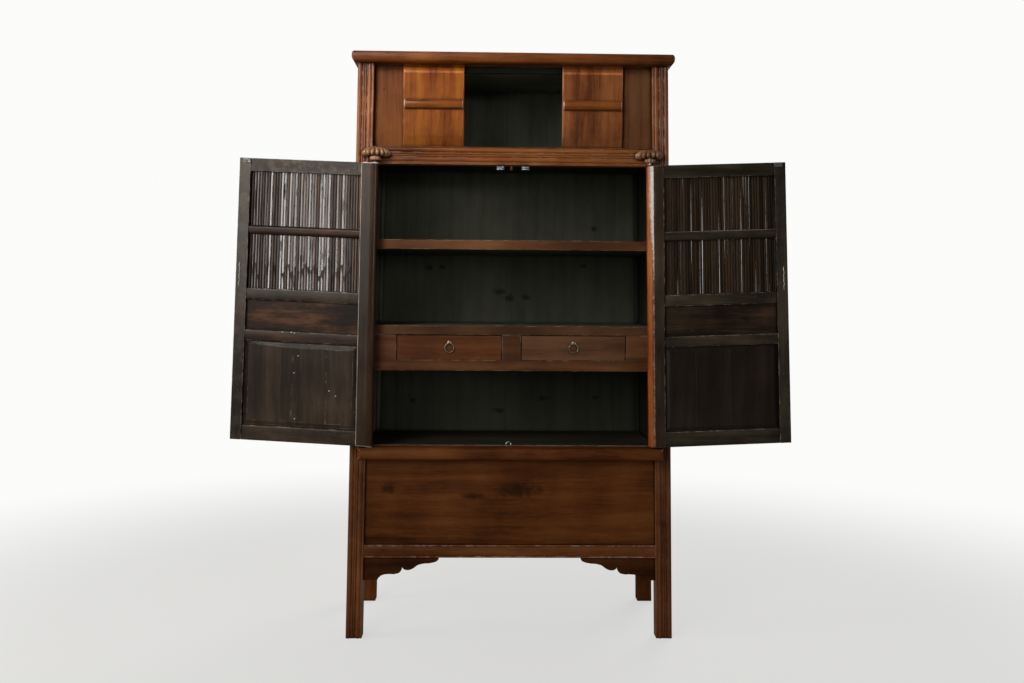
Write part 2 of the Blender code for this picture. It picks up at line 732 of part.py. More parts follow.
def make_pivot_blocks():
    """A scalloped half round drawn up to a point at the back, with a collar under it."""
    rings = (
        (0.0, 0.94), (0.10, 1.0), (BLOCK_RIM / BLOCK_HIGH, 1.0), (0.48, 0.84), (0.80, 0.42),
        (1.0, 0.10),
    )
    steps = BLOCK_LOBES * LOBE_STEPS
    for side, sign in SIDES.items():
        name = f"pivot_block_{side}"
        middle = sign * DOOR_AXIS
        outline = []
        for step in range(steps + 1):
            turn = math.pi * step / steps
            reach = BLOCK_RADIUS - LOBE_DEPTH * (1 - abs(math.sin(BLOCK_LOBES * turn)))
            outline.append((reach * math.cos(turn), -reach * math.sin(turn)))
        bm = bmesh.new()
        start = [
            bm.verts.new((middle + rings[0][1] * x, rings[0][1] * y - FIT, BLOCK_BOTTOM))
            for x, y in outline
        ]
        face = bm.faces.new(start)
        flat = {vertex: point for vertex, point in zip(start, outline)}
        for rise, scale in rings[1:]:
            face = draw_up(bm, face, rise == rings[1][0])
            for vertex in face.verts:
                below = min(flat, key=lambda old: (old.co - vertex.co).length)
                flat[vertex] = flat.pop(below)
            for vertex in face.verts:
                x, y = flat[vertex]
                vertex.co = (middle + scale * x, scale * y - FIT, BLOCK_BOTTOM + rise * BLOCK_HIGH)
        block = piece(name, mesh_of(bm, name), LACQUER)
        bm = bmesh.new()
        add_rod(
            bm, middle, -DOOR_PROUD, BLOCK_BOTTOM - COLLAR_HIGH, BLOCK_BOTTOM + BLOCK_RIM / 2,
            COLLAR_RADIUS, PIN_SIDES,
        )
        combine(block, bm, "UNION")


def bore(name, x, z0, z1):
    """A socket for a door's pivot pin."""
    bm = bmesh.new()
    add_rod(bm, x, -DOOR_PROUD, z0, z1, PIN_RADIUS + PIN_PLAY, PIN_SIDES)
    combine(bpy.data.objects[name], bm, "DIFFERENCE")


def door_rail(name, sign, low, high, rounded):
    """A rail between the stiles, with a tenon drawn out of each end and eased inner edges."""
    half = RAIL_THICK / 2
    shape = box(
        sign * (MEET_EDGE + FIT), sign * (STILE_EDGE - FIT), -DOOR_PROUD - half,
        -DOOR_PROUD + half, low, high,
    )
    bm = bmesh.new()
    add_box(bm, shape)
    bm.normal_update()
    for face in [f for f in bm.faces if abs(f.normal.x) > 0.9]:
        outward = Vector((math.copysign(DOOR_TENON, face.normal.x), 0, 0))
        bmesh.ops.inset_region(bm, faces=[face], thickness=TENON_INSET, use_even_offset=True)
        tip = draw_up(bm, face, False)
        bmesh.ops.translate(bm, vec=outward, verts=tip.verts)
    inner = [
        edge for edge in bm.edges
        if all(vertex.co.y > half - DOOR_PROUD - FIT for vertex in edge.verts)
        and abs(edge.verts[0].co.x - edge.verts[1].co.x) > HINGE_STILE
        and rounded[0 if edge.verts[0].co.z < (low + high) / 2 else 1]
    ]
    bmesh.ops.bevel(
        bm, geom=inner, offset=RAIL_ROUND, offset_type="OFFSET", segments=2, profile=0.5,
        affect="EDGES",
    )
    piece(name, mesh_of(bm, name), DOOR_WOOD)
    inset = TENON_INSET
    return box(
        sign * (MEET_EDGE - DOOR_TENON), sign * (STILE_EDGE + DOOR_TENON),
        -DOOR_PROUD - half + inset, -DOOR_PROUD + half - inset, low + inset, high - inset,
    )


def raise_field(panel, sign, low, high, face):
    """A bevelled field with a hand-planed head, on three boards whose joints show as vees."""
    # Shares of the width from the meeting stile, and of the deepest drop of the head bevel.
    planed = ((0.0, 0.38), (0.14, 0.62), (0.34, 0.88), (0.56, 0.97), (0.72, 0.84), (0.87, 1.0), (1.0, 0.88))
    bm = bmesh.new()
    rings = []
    for inset, drop, y in (
        (2 * FIT, 0.0, face - PANEL_RAISE / 4), (PANEL_BEVEL, HEAD_BEVEL, face + PANEL_RAISE)
    ):
        near, far = MEET_EDGE + inset, STILE_EDGE - inset
        outline = [(near, low + inset), (far, low + inset)]
        for share, part in reversed(planed):
            outline.append((near + share * (far - near), high - 2 * FIT - part * drop))
        rings.append([bm.verts.new((sign * x, y, z)) for x, z in outline])
    count = len(rings[0])
    bm.faces.new(rings[0])
    bm.faces.new(rings[1])
    for index in range(count):
        after = (index + 1) % count
        bm.faces.new((rings[0][index], rings[0][after], rings[1][after], rings[1][index]))
    combine(panel, bm, "UNION")
    bm = bmesh.new()
    crest = face + PANEL_RAISE
    for share in BOARD_JOINTS:
        x = sign * (MEET_EDGE + share * (STILE_EDGE - MEET_EDGE))
        profile = ((-BOARD_VEE, crest + FIT), (BOARD_VEE, crest + FIT), (0.0, crest - BOARD_VEE))
        ends = [
            [bm.verts.new((x + run, y, z)) for run, y in profile]
            for z in (low + PANEL_BEVEL, high - HEAD_BEVEL / 2)
        ]
        bm.faces.new(ends[0])
        bm.faces.new(ends[1])
        for index in range(3):
            after = (index + 1) % 3
            bm.faces.new((ends[0][index], ends[0][after], ends[1][after], ends[1][index]))
    combine(panel, bm, "DIFFERENCE")


def door_panel(name, sign, low, high, raised, frame):
    """A panel held in grooves all round, flat or raised on its inner face."""
    middle = -DOOR_PROUD
    shape = box(
        sign * (MEET_EDGE - PANEL_TONGUE), sign * (STILE_EDGE + PANEL_TONGUE),
        middle - PANEL_THICK / 2, middle + PANEL_THICK / 2, low - PANEL_TONGUE, high + PANEL_TONGUE,
    )
    panel = solid_box(name, shape, DOOR_WOOD)
    let_in(shape, *frame)
    if raised:
        raise_field(panel, sign, low, high, middle + PANEL_THICK / 2)


def door_grille(name, sign, low, high, frame):
    """Upright rods let into one crossbar. The outer rods lean with the hinge stile."""
    rod_y = -DOOR_PROUD - ROD_OFFSET
    bar_front = rod_y + ROD_RADIUS - CROSSBAR_BITE
    bar_top = DOOR_TOP - CROSSBAR_DROP
    bar = box(
        sign * (MEET_EDGE - CROSSBAR_TENON), sign * (STILE_EDGE + CROSSBAR_TENON), bar_front,
        bar_front + CROSSBAR_THICK, bar_top - CROSSBAR_HIGH, bar_top,
    )
    bm = bmesh.new()
    add_box(bm, bar)
    face = [
        edge for edge in bm.edges
        if all(vertex.co.y > bar[1].y - FIT for vertex in edge.verts)
        and abs(edge.verts[0].co.x - edge.verts[1].co.x) > HINGE_STILE
    ]
    bmesh.ops.bevel(
        bm, geom=face, offset=CROSSBAR_ROUND, offset_type="OFFSET", segments=3, profile=0.5,
        affect="EDGES",
    )
    grille = piece(name, mesh_of(bm, name), BAMBOO)
    let_in(bar, frame[0], frame[1])
    width = STILE_EDGE - MEET_EDGE
    bm = bmesh.new()
    for index in range(ROD_COUNT):
        x = sign * (MEET_EDGE + width * (index + 0.5) / ROD_COUNT)
        add_rod(bm, x, rod_y, low - ROD_END, high + ROD_END, ROD_RADIUS, 8)
    combine(grille, bm, "UNION")
    for vertex in grille.data.vertices:
        share = (abs(vertex.co.x) - MEET_EDGE) / width
        share = max(0.0, min(1.0, share))
        vertex.co.x -= sign * SPLAY * vertex.co.z * share
    first = MEET_EDGE + 0.5 * width / ROD_COUNT - ROD_RADIUS
    last = STILE_EDGE - 0.5 * width / ROD_COUNT + ROD_RADIUS
    for z in (low, high):
        groove = box(
            sign * (first - FIT), sign * (last + FIT), rod_y - ROD_RADIUS, rod_y + ROD_RADIUS,
            z - ROD_END, z + ROD_END,
        )
        let_in(groove, frame[2] if z == high else frame[3])


def split_pin(name, x, front, back, z, radius, wire, finish):
    """A wire eye on a shank that passes through the wood."""
    bpy.ops.mesh.primitive_torus_add(
        major_segments=14, minor_segments=6, major_radius=radius, minor_radius=wire,
        location=(x, front - radius - wire, z), rotation=(0, math.pi / 2, 0),
    )
    loop = bpy.context.object
    mesh = loop.data
    mesh.transform(loop.matrix_world)
    bpy.data.objects.remove(loop, do_unlink=True)
    pin = piece(name, mesh, finish)
    bm = bmesh.new()
    add_pin(bm, x, front - wire * 2, back, z, wire * 1.3, 8)
    combine(pin, bm, "UNION")
    hole = bmesh.new()
    add_pin(hole, x, front - 0.01, back + 0.01, z, wire * 1.3 + FIT, 8)
    return pin, hole


def door_fittings(side, sign):
    stile = bpy.data.objects[f"door_{side}_meeting_stile"]
    plate_x = DOOR_MEET + PLATE_FROM_EDGE
    solid_box(
        f"door_{side}_strike_plate",
        box(
            sign * plate_x, sign * (plate_x + PLATE_WIDE), DOOR_INNER + FIT,
            DOOR_INNER + FIT + PLATE_THICK, DOOR_TOP - PLATE_HIGH - 0.001, DOOR_TOP - 0.001,
        ),
        STEEL,
    )
    eye_x = sign * (DOOR_MEET + EYE_FROM_EDGE)
    back = DOOR_INNER + FIT + LEG_THICK
    eye, hole = split_pin(
        f"door_{side}_eye", eye_x, DOOR_OUTER - FIT, back, EYE_Z, EYE_RADIUS, EYE_WIRE, BRASS
    )
    half = EYE_WIRE * 1.1
    join(eye, [box(eye_x - half, eye_x + half, DOOR_INNER + FIT, back + FIT,
                   EYE_Z - LEG_LONG, EYE_Z + LEG_LONG)])
    combine(stile, hole, "DIFFERENCE")


def hang_door(side, sign, angle):
    """Put the closed door on its leaning pivot line and swing it open."""
    foot = Vector((sign * (DOOR_AXIS - SPLAY * DOOR_BOTTOM), -DOOR_PROUD, DOOR_BOTTOM))
    closed = Matrix.Translation(foot) @ Matrix.Rotation(-sign * math.atan(SPLAY), 4, "Y")
    pivot = bpy.data.objects.new(f"door_{side}_pivot", None)
    parts.objects.link(pivot)
    pivot.parent = root
    pivot.matrix_local = closed @ Matrix.Rotation(sign * math.radians(angle), 4, "Z")
    for obj in list(parts.objects):
        if obj.type == "MESH" and obj.name.startswith(f"door_{side}_"):
            obj.parent = pivot
            obj.matrix_parent_inverse = closed.inverted()


def make_door(side, sign):
    name = f"door_{side}_"
    outline = []
    for step in range(NOSE_STEPS + 1):
        turn = math.pi * step / NOSE_STEPS
        edge = DOOR_AXIS + NOSE_BACK - NOSE_RUN + NOSE_RUN * math.sin(turn)
        outline.append((sign * edge, -DOOR_PROUD - DOOR_THICK / 2 * math.cos(turn)))
    outline += [(sign * STILE_EDGE, DOOR_INNER), (sign * STILE_EDGE, DOOR_OUTER)]
    stile = prism(name + "hinge_stile", outline, DOOR_BOTTOM, DOOR_TOP, "z", DOOR_WOOD)
    bm = bmesh.new()
    x = sign * DOOR_AXIS
    add_rod(bm, x, -DOOR_PROUD, DOOR_TOP - 0.005, DOOR_TOP + PIN_TOP, PIN_RADIUS, PIN_SIDES)
    add_rod(bm, x, -DOOR_PROUD, DOOR_BOTTOM - PIN_LOW, DOOR_BOTTOM + 0.005, PIN_RADIUS, PIN_SIDES)
    combine(stile, bm, "UNION")
    solid_box(
        name + "meeting_stile",
        box(sign * DOOR_MEET, sign * MEET_EDGE, DOOR_OUTER, DOOR_INNER, DOOR_BOTTOM, DOOR_TOP),
        DOOR_WOOD,
    )
    grille_top = DOOR_TOP - TOP_RAIL
    grille_low = grille_top - GRILLE_HIGH
    small_top = grille_low - GRILLE_RAIL
    small_low = small_top - SMALL_PANEL_HIGH
    lower_top = small_low - PANEL_RAIL
    lower_low = DOOR_BOTTOM + BOTTOM_RAIL
    stiles = (name + "hinge_stile", name + "meeting_stile")
    for rail, low, high, rounded in (
        ("top_rail", grille_top, DOOR_TOP, (False, False)),
        ("grille_rail", small_top, grille_low, (True, True)),
        ("panel_rail", lower_top, small_low, (True, True)),
        ("bottom_rail", DOOR_BOTTOM, lower_low, (False, True)),
    ):
        let_in(door_rail(name + rail, sign, low, high, rounded), *stiles)
    rails = (name + "grille_rail", name + "panel_rail")
    door_panel(name + "small_panel", sign, small_low, small_top, False, stiles + rails)
    rails = (name + "panel_rail", name + "bottom_rail")
    door_panel(name + "lower_panel", sign, lower_low, lower_top, True, stiles + rails)
    rails = (name + "top_rail", name + "grille_rail")
    door_grille(name + "grille", sign, grille_low, grille_top, stiles + rails)
    door_fittings(side, sign)


def make_catches():
    """Magnet catches under the waist rail, each with two pole strips on its face."""
    face = DOOR_INNER + FIT + PLATE_THICK + CATCH_GAP + POLE_PROUD
    top = WAIST_BOTTOM - FIT
    for side, sign in SIDES.items():
        low = sign * (CATCH_X - CATCH_WIDE / 2)
        high = sign * (CATCH_X + CATCH_WIDE / 2)
        catch = solid_box(
            f"magnet_catch_{side}", box(low, high, face, CATCH_BACK, top - CATCH_HIGH, top), STEEL
        )
        poles = []
        for share in (0.45, 0.80):
            middle = top - CATCH_HIGH * share
            poles.append(box(
                low + sign * 0.001, high - sign * 0.001, face - POLE_PROUD, face + POLE_PROUD,
                middle - POLE_HIGH / 2, middle + POLE_HIGH / 2,
            ))
        join(catch, poles)


def make_drawers():
    low = CASE_FLOOR + FIT
    high = CASE_TOP_BOTTOM - DRAWER_PLAY
    back = SHELF_FRONT + DRAWER_LONG
    inside = SHELF_FRONT + DRAWER_FRONT_THICK
    for side, sign in SIDES.items():
        centre = sign * DRAWER_SPACING
        half = DRAWER_WIDE / 2
        drawer = solid_box(
            f"drawer_{side}", box(centre - half, centre + half, SHELF_FRONT, back, low, high),
            DARK_WOOD,
        )
        bm = bmesh.new()
        add_box(bm, box(
            centre - half + DRAWER_WALL, centre + half - DRAWER_WALL, inside, back - DRAWER_WALL,
            low + DRAWER_WALL, high + 0.01,
        ))
        add_box(bm, box(
            centre - half - 0.01, centre + half + 0.01, inside, back + 0.01,
            high - DRAWER_RIM_DROP, high + 0.02,
        ))
        combine(drawer, bm, "DIFFERENCE")
        eye_z = (low + high) / 2 + DRAWER_EYE_RISE
        _, hole = split_pin(
            f"drawer_{side}_eye", centre, SHELF_FRONT - FIT, inside + 0.004, eye_z,
            DRAWER_EYE_RADIUS, DRAWER_EYE_WIRE, BRASS,
        )
        combine(drawer, hole, "DIFFERENCE")
        # The ring hangs from its top inside the eye and swings about that point.
        bpy.ops.mesh.primitive_torus_add(
            major_segments=20, minor_segments=6, major_radius=RING_RADIUS, minor_radius=RING_WIRE,
            location=(0, 0, 0), rotation=(0, 0, 0),
        )
        loop = bpy.context.object
        mesh = loop.data
        bpy.data.objects.remove(loop, do_unlink=True)
        mesh.transform(Matrix.Rotation(math.pi / 2, 4, "X"))
        mesh.transform(Matrix.Translation((0, 0, -RING_RADIUS)))
        ring = piece(f"drawer_{side}_ring", mesh, BRASS)
        eye_y = SHELF_FRONT - FIT - DRAWER_EYE_RADIUS - DRAWER_EYE_WIRE
        slack = DRAWER_EYE_RADIUS - DRAWER_EYE_WIRE - RING_WIRE - FIT
        ring.location = (centre, eye_y, eye_z - slack)


def cut_joints():
    """Cut every recorded recess, one set for each receiving piece."""
    for name, shapes in cuts.items():
        bm = bmesh.new()
        for shape in shapes:
            add_box(bm, shape)
        combine(bpy.data.objects[name], bm, "DIFFERENCE")


make_posts()
make_top_board()
make_front_rails()
make_sill()
make_front_panel_and_spandrels()
make_sides_and_back()
make_shelves()
make_sliding_front()
make_pivot_blocks()
for door_side, door_sign in SIDES.items():
    make_door(door_side, door_sign)
    socket_top = DOOR_TOP + PIN_TOP + 0.001
    bore(f"pivot_block_{door_side}", door_sign * DOOR_AXIS, BLOCK_BOTTOM - COLLAR_HIGH - 0.01, socket_top)
    bore("door_sill", door_sign * DOOR_AXIS, DOOR_BOTTOM - PIN_LOW - 0.001, SILL_TOP + 0.01)
make_catches()
make_drawers()
cut_joints()

for span in (
    "top_board", "top_track_rail", "waist_rail", "door_sill", "apron_rail", "front_lower_panel",
    "rear_rail", "back_panel", "upper_floor", "middle_shelf", "drawer_case_top",
    "drawer_case_floor", "main_floor", "store_floor", "fixed_panel_left", "fixed_panel_right",
):
    lean(span, END_ONLY)
for side_name in SIDES:
    for whole in ("post_front", "post_rear", "side_panel", "spandrel", "pivot_block"):
        lean(f"{whole}_{side_name}")
    lean(f"door_{side_name}_hinge_stile")
    for member in ("top_rail", "grille_rail", "panel_rail", "bottom_rail", "small_panel", "lower_panel"):
        lean(f"door_{side_name}_{member}", DOOR_AXIS / 2)
hang_door("left", -1, OPEN_LEFT)
hang_door("right", 1, OPEN_RIGHT)

# The origin is on the floor, under the middle of everything as it stands.
bpy.context.view_layer.update()
corners = [
    obj.matrix_world @ vertex.co
    for obj in parts.objects if obj.type == "MESH" for vertex in obj.data.vertices
]
for obj in parts.objects:
    if obj.type == "MESH":
        obj.data.shade_smooth()
        obj.data.set_sharp_from_angle(angle=math.radians(35))
middle_x = (min(c.x for c in corners) + max(c.x for c in corners)) / 2
middle_y = (min(c.y for c in corners) + max(c.y for c in corners)) / 2
root.location = (-middle_x, -middle_y, 0)
print(f"origin moved by {-middle_x:.5f} {-middle_y:.5f}")
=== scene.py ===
# %% [markdown]
# A tapered wooden cupboard, dressed for its portrait.
# The imported model already gives every board, post and fitting its size and place, so this lesson
# only adds what a saw and a plane can't: the lacquer, the worn edges, the split bamboo and the
# small ironwork. We start by loading that model.

# %% Load the imported cupboard
import math
import random

import bpy
from mathutils import Matrix, Vector
from mathutils.geometry import normal


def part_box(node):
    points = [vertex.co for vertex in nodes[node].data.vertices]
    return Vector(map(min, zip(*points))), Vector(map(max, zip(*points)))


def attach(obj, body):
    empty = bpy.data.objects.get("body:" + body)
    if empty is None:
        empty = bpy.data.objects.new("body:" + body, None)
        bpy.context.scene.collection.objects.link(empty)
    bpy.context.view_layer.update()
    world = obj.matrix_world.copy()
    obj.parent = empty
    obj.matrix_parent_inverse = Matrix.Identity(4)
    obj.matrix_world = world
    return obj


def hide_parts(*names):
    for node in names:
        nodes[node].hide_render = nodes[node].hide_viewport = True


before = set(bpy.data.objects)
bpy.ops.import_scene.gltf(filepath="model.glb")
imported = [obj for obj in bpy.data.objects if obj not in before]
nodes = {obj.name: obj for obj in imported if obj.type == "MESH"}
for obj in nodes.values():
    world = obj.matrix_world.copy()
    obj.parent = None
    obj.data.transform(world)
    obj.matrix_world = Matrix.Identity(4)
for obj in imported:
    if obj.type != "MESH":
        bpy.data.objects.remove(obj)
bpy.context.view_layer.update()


# %% [markdown]
# The camera stands a little left of the middle, at chest height, and looks slightly down.
# Its place was found by matching the corners of the posts, rails and doors to the photograph.
# A camera could be aimed with a Track To constraint, but a solved camera also has a small roll,
# so its three turns are multiplied into its matrix.

# %% Camera
SHIFT = Vector((-0.00038, -0.2115, 0.0))  # from the maker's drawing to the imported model


def place_camera(spot, yaw, pitch, roll, lens):
    camera = bpy.data.objects.new("camera", bpy.data.cameras.new("camera"))
    bpy.context.scene.collection.objects.link(camera)
    place = Matrix.Translation(spot)
    for turn, axis in ((-yaw, "Z"), (90 + pitch, "X"), (roll, "Z")):
        place = place @ Matrix.Rotation(math.radians(turn), 4, axis)
    camera.matrix_world = place
    camera.data.sensor_width = 36.0
    camera.data.lens = lens
    bpy.context.scene.camera = camera
    return camera


camera = place_camera(
    Vector((-0.07847, -3.23273, 1.03988)) + SHIFT, yaw=1.41277, pitch=-2.23167, roll=0.44, lens=37.44
)
print("camera at", [round(v, 3) for v in camera.location])


# %% [markdown]
# Materials are node trees, but a long tree built link by link is hard to read.
# One small class stands for a node's output, so that sums on values read as sums,
# and one method adds any other node: its type, its settings, then its sockets.

# %% Shader shorthand
class Wire:
    """A node's output. Sums with it add Math nodes."""

    def __init__(self, finish, socket):
        self.finish, self.socket = finish, socket

    def sum(self, operation, first, second):
        return self.finish.node("ShaderNodeMath", {"operation": operation}, {0: first, 1: second})

    def __add__(self, other):
        return self.sum("ADD", self, other)

    def __mul__(self, other):
        return self.sum("MULTIPLY", self, other)

    def __sub__(self, other):
        return self.sum("SUBTRACT", self, other)

    def __rsub__(self, other):
        return self.sum("SUBTRACT", other, self)

    __radd__, __rmul__ = __add__, __mul__

    def step(self, low, high):
        """0 below low, 1 above high, and a soft rise between."""
        return self.finish.node(
            "ShaderNodeMapRange", {"interpolation_type": "SMOOTHSTEP"},
            {"Value": self, "From Min": low, "From Max": high},
        )


class Finish:
    """A material under construction."""

    def __init__(self, name):
        self.material = bpy.data.materials.new(name)
        self.material.use_nodes = True
        self.tree = self.material.node_tree
        self.shader = self.tree.nodes["Principled BSDF"]

    def put(self, socket, value):
        if isinstance(value, Wire):
            self.tree.links.new(value.socket, socket)
        else:
            socket.default_value = (*value, 1.0) if socket.type == "RGBA" else value

    def node(self, kind, settings=None, values=None, output=0):
        made = self.tree.nodes.new(kind)
        for name, setting in (settings or {}).items():
            if name == "stops":
                ramp = made.color_ramp
                while len(ramp.elements) < len(setting):
                    ramp.elements.new(0.5)
                for element, (place, colour) in zip(ramp.elements, setting):
                    element.position = place
                    element.color = (*colour, 1.0)
            else:
                setattr(made, name, setting)
        for name, value in (values or {}).items():
            self.put(made.inputs[name], value)
        return Wire(self, made.outputs[output])

    def noise(self, where, scale, detail=2.0, rough=0.5, output=0):
        return self.node(
            "ShaderNodeTexNoise", {},
            {"Vector": where, "Scale": scale, "Detail": detail, "Roughness": rough}, output,
        )

    def vector(self, operation, *values):
        output = "Value" if operation in ("LENGTH", "DOT_PRODUCT") else 0
        return self.node("ShaderNodeVectorMath", {"operation": operation}, dict(enumerate(values)), output)

    def blend(self, amount, first, second, kind="MIX"):
        """Mix two colours."""
        settings = {"data_type": "RGBA", "blend_type": kind}
        return self.node("ShaderNodeMix", settings, {0: amount, 6: first, 7: second}, 2)

    def set(self, **values):
        for name, value in values.items():
            self.put(self.shader.inputs[name.replace("_", " ")], value)

    def bump(self, height, strength, distance):
        self.set(Normal=self.node(
            "ShaderNodeBump", {}, {"Strength": strength, "Distance": distance, "Height": height}
        ))


print("shader shorthand ready")


# %% [markdown]
# Old lacquered wood is three layers to the eye: slow clouds of stain, growth bands stretched along
# the board, and fine fibres with dark pores. An image would give all that at once, but it can't
# follow sixty pieces, so noise is read from the piece's own coordinates and squeezed along
# the grain. The varnish is a coat on top, and it is duller where the fibres stand up.

# %% Wood
GRAIN = {"up": (1.0, 1.0, 0.045), "across": (0.045, 1.0, 1.0)}
SHADES_AT = (0.28, 0.5, 0.74)  # where a stain's dark, middle and light shade stand in the figure
PALE_WEAR, CHIP_AND_GLINT = (0.42, 0.33, 0.25), (0.97, 0.9, 0.84)
SPLAY = 0.0199  # how far the posts lean in over a metre of height
woods = {}


def wood_layers(wood, grain, seed, knots=()):
    """Where the grain runs, and the three layers of its figure."""
    spot = wood.node("ShaderNodeTexCoord", output="Object")
    moved = wood.vector("ADD", spot, (1.7 * seed, 2.3 * seed, 0.9 * seed))
    drift = wood.noise(moved, 2.2, 2.0, 0.5, "Color")
    bent = wood.vector("MULTIPLY_ADD", drift, (0.035, 0.035, 0.035), moved)
    knotted = None
    ragged = 1.7 * (wood.noise(spot, 42.0, 4.0, 0.6) - 0.5)
    for x, z, wide, high in knots:
        scale, shift = (1 / wide, 0.0, 1 / high), (-x / wide, 0.0, -z / high)
        flat = wood.vector("MULTIPLY_ADD", spot, scale, shift)
        near = 1 - (wood.vector("LENGTH", flat) + ragged).step(0.15, 1.0)
        knotted = near if knotted is None else knotted + near - knotted * near
    along = wood.vector("MULTIPLY", bent, GRAIN[grain])
    bands = wood.noise(along, 34.0, 4.0, 0.55)
    fibres = wood.noise(along, 240.0, 3.0, 0.6)
    clouds = wood.noise(moved, 4.5, 5.0, 0.6)
    return spot, moved, along, bands, fibres, clouds, knotted


def aged_wood(
    name, stain, grain, gloss, coat, seed, knots=(), scuffs=0.25, other=None, worn=0.0, figure=1.0,
    chips_and_glint=0.0, shine=0.22, below=None, painted_light=(), rub_and_glint=None, behind=None, beyond=None, sheen_climb=None,
    pale=PALE_WEAR, hollow_shade=0.85, polished=None,
):
    """Stained and varnished wood, kept in woods under its name. Faces that look the other stain's way
    take that stain, and so does all below a height, or beyond a line that leans with the posts. Behind
    keeps it to the inside of the carcass. Painted light brightens the colour above a height, where more
    light falls. The sheen climb lets the pale wear grow with height, real wear with painted sheen on top.
    Polished keeps the coat to the upper part. The rub and glint is a pale line along the top, wear and a
    painted highlight. Chips and glint are pale chips with a painted highlight along a nose's edge, and
    hollow shade darkens creases and corners as painted shade."""
    wood = Finish(name)
    spot, moved, along, bands, fibres, clouds, knotted = wood_layers(wood, grain, seed, knots)
    tone = 0.5 + figure * (0.85 * bands + 0.35 * fibres + 0.95 * clouds - 1.075)
    across, inward, height = (
        wood.node("ShaderNodeSeparateXYZ", {}, {"Vector": spot}, way) for way in "XYZ"
    )

    def figured(shown):
        return wood.node("ShaderNodeValToRGB", {"stops": list(zip(SHADES_AT, shown))}, {"Fac": tone})

    deep = stain[0]
    colour = figured(stain)
    # Painted light: above each given height the colour is brightened, where more light falls.
    for low, high, gain in painted_light:
        colour = wood.blend(height.step(low, high), colour, (gain, gain, gain), "MULTIPLY")
    if other is not None:
        direction, low, high, second = other
        turned = wood.node("ShaderNodeTexCoord", output="Normal")
        ragged = 0.16 * (wood.noise(moved, 60.0, 4.0, 0.7) - 0.5)
        lean = wood.vector("DOT_PRODUCT", turned, direction) + ragged
        facing = lean.step(low, high)
        if below is not None:
            facing = 1 - (1 - facing) * height.step(below, below + 0.02)
        if behind is not None:
            facing = facing * inward.step(behind, behind + 0.005)
        if beyond is not None:
            way, line, sense = beyond
            past = sense * (way * across + SPLAY * height - line)
            facing = 1 - (1 - facing) * (1 - (past + 0.02 * ragged).step(-0.002, 0.002))
        colour = wood.blend(facing, colour, figured(second))
        if chips_and_glint:
            # A near-white band along the nose's edge, wider higher up: worn chips together with a painted
            # highlight.
            hatch = wood.noise(wood.vector("MULTIPLY", moved, (0.4, 0.4, 1.0)), 110.0, 5.0, 0.75)
            raised = height.step(1.13, 1.38)
            bare = 1 - (lean + 0.5 * (hatch - 0.5)).step(low + 0.05, low + 0.17 + 0.62 * raised)
            higher = 0.3 + 0.7 * height.step(0.95, 1.25)
            border = lean.step(low + 0.03, low + 0.09) * bare * higher
            colour = wood.blend(chips_and_glint * border, colour, CHIP_AND_GLINT)
    pores = wood.noise(along, 620.0, 2.0, 0.5).step(0.6, 0.72)
    colour = wood.blend(0.45 * pores, colour, deep)
    # Hollow shade: the colour darkens where ambient occlusion finds creases, corners and contact lines.
    # This is painted shade.
    hollow = 1 - wood.node("ShaderNodeAmbientOcclusion", {"samples": 8}, {"Distance": 0.013}, "AO")
    colour = wood.blend(hollow_shade * hollow.step(0.1, 0.55), colour, tuple(0.2 * value for value in deep))
    if knotted is not None:
        colour = wood.blend(0.75 * knotted, colour, tuple(0.3 * value for value in deep))
    nicks = wood.noise(moved, 70.0, 6.0, 0.75).step(0.665, 0.7) * wood.noise(moved, 7.0).step(0.45, 0.6)
    colour = wood.blend(scuffs * nicks, colour, PALE_WEAR)
    if worn:
        rubbed = wood.noise(moved, 38.0, 5.0, 0.7).step(0.46, 0.62)
        # The pale wear grows stronger higher up. This is real wear with painted sheen on top.
        if sheen_climb:
            rubbed = rubbed * (0.3 + 0.7 * height.step(*sheen_climb))
        colour = wood.blend(worn * rubbed, colour, pale)
    # A pale line along the top edge: wear together with a painted highlight.
    if rub_and_glint:
        near, far, top, amount = rub_and_glint
        uneven = wood.noise(moved, 30.0, 4.0, 0.7).step(0.36, 0.56)
        strip = inward.step(near, near + 0.003) * (1 - inward.step(far, far + 0.003))
        colour = wood.blend(amount * (strip * height.step(top - 0.001, top)) * uneven, colour, PALE_WEAR)
    if polished:
        coat = coat * height.step(*polished)
    wood.set(
        Base_Color=colour, Roughness=gloss + 0.3 * (fibres - 0.5) + 0.35 * (clouds - 0.5),
        Specular_IOR_Level=shine, Coat_Weight=coat, Coat_Roughness=0.16,
    )
    wood.bump(0.5 * bands + 0.5 * fibres - 0.5 * pores, 0.22, 0.0011)
    woods[name] = wood.material


def shades(*stain):
    """A stain's dark, middle and light shade, written in thousandths."""
    return tinted(stain, 0.001, 0.001, 0.001)


def stained(stain, level):
    """The same stain, lighter or darker."""
    return tinted(stain, level, level, level)


def tinted(stain, *gains):
    """The same stain with its red, green and blue multiplied."""
    return tuple(tuple(gain * value for gain, value in zip(gains, shade)) for shade in stain)


print("wood recipe ready")


# %% [markdown]
# Every stain is three shades: dark, middle and light. First come the red carcass, the black inside
# and the panels of the top. Where a board shows two stains, the second has the way its faces look.

# %% Stains of the carcass
RED = shades((72, 17, 3), (175, 48, 8.5), (270, 88, 20))
RED_EDGE = shades((150, 43, 9), (250, 88, 24), (360, 165, 65))
LOW_RED = shades((69, 18, 4), (167, 50, 11.6), (255, 90, 27))
BLOCK_RED = shades((112, 41, 14.5), (270, 118, 46), (420, 215, 105))
INSIDE = shades((70, 73, 52), (135, 140, 102), (190, 196, 150))
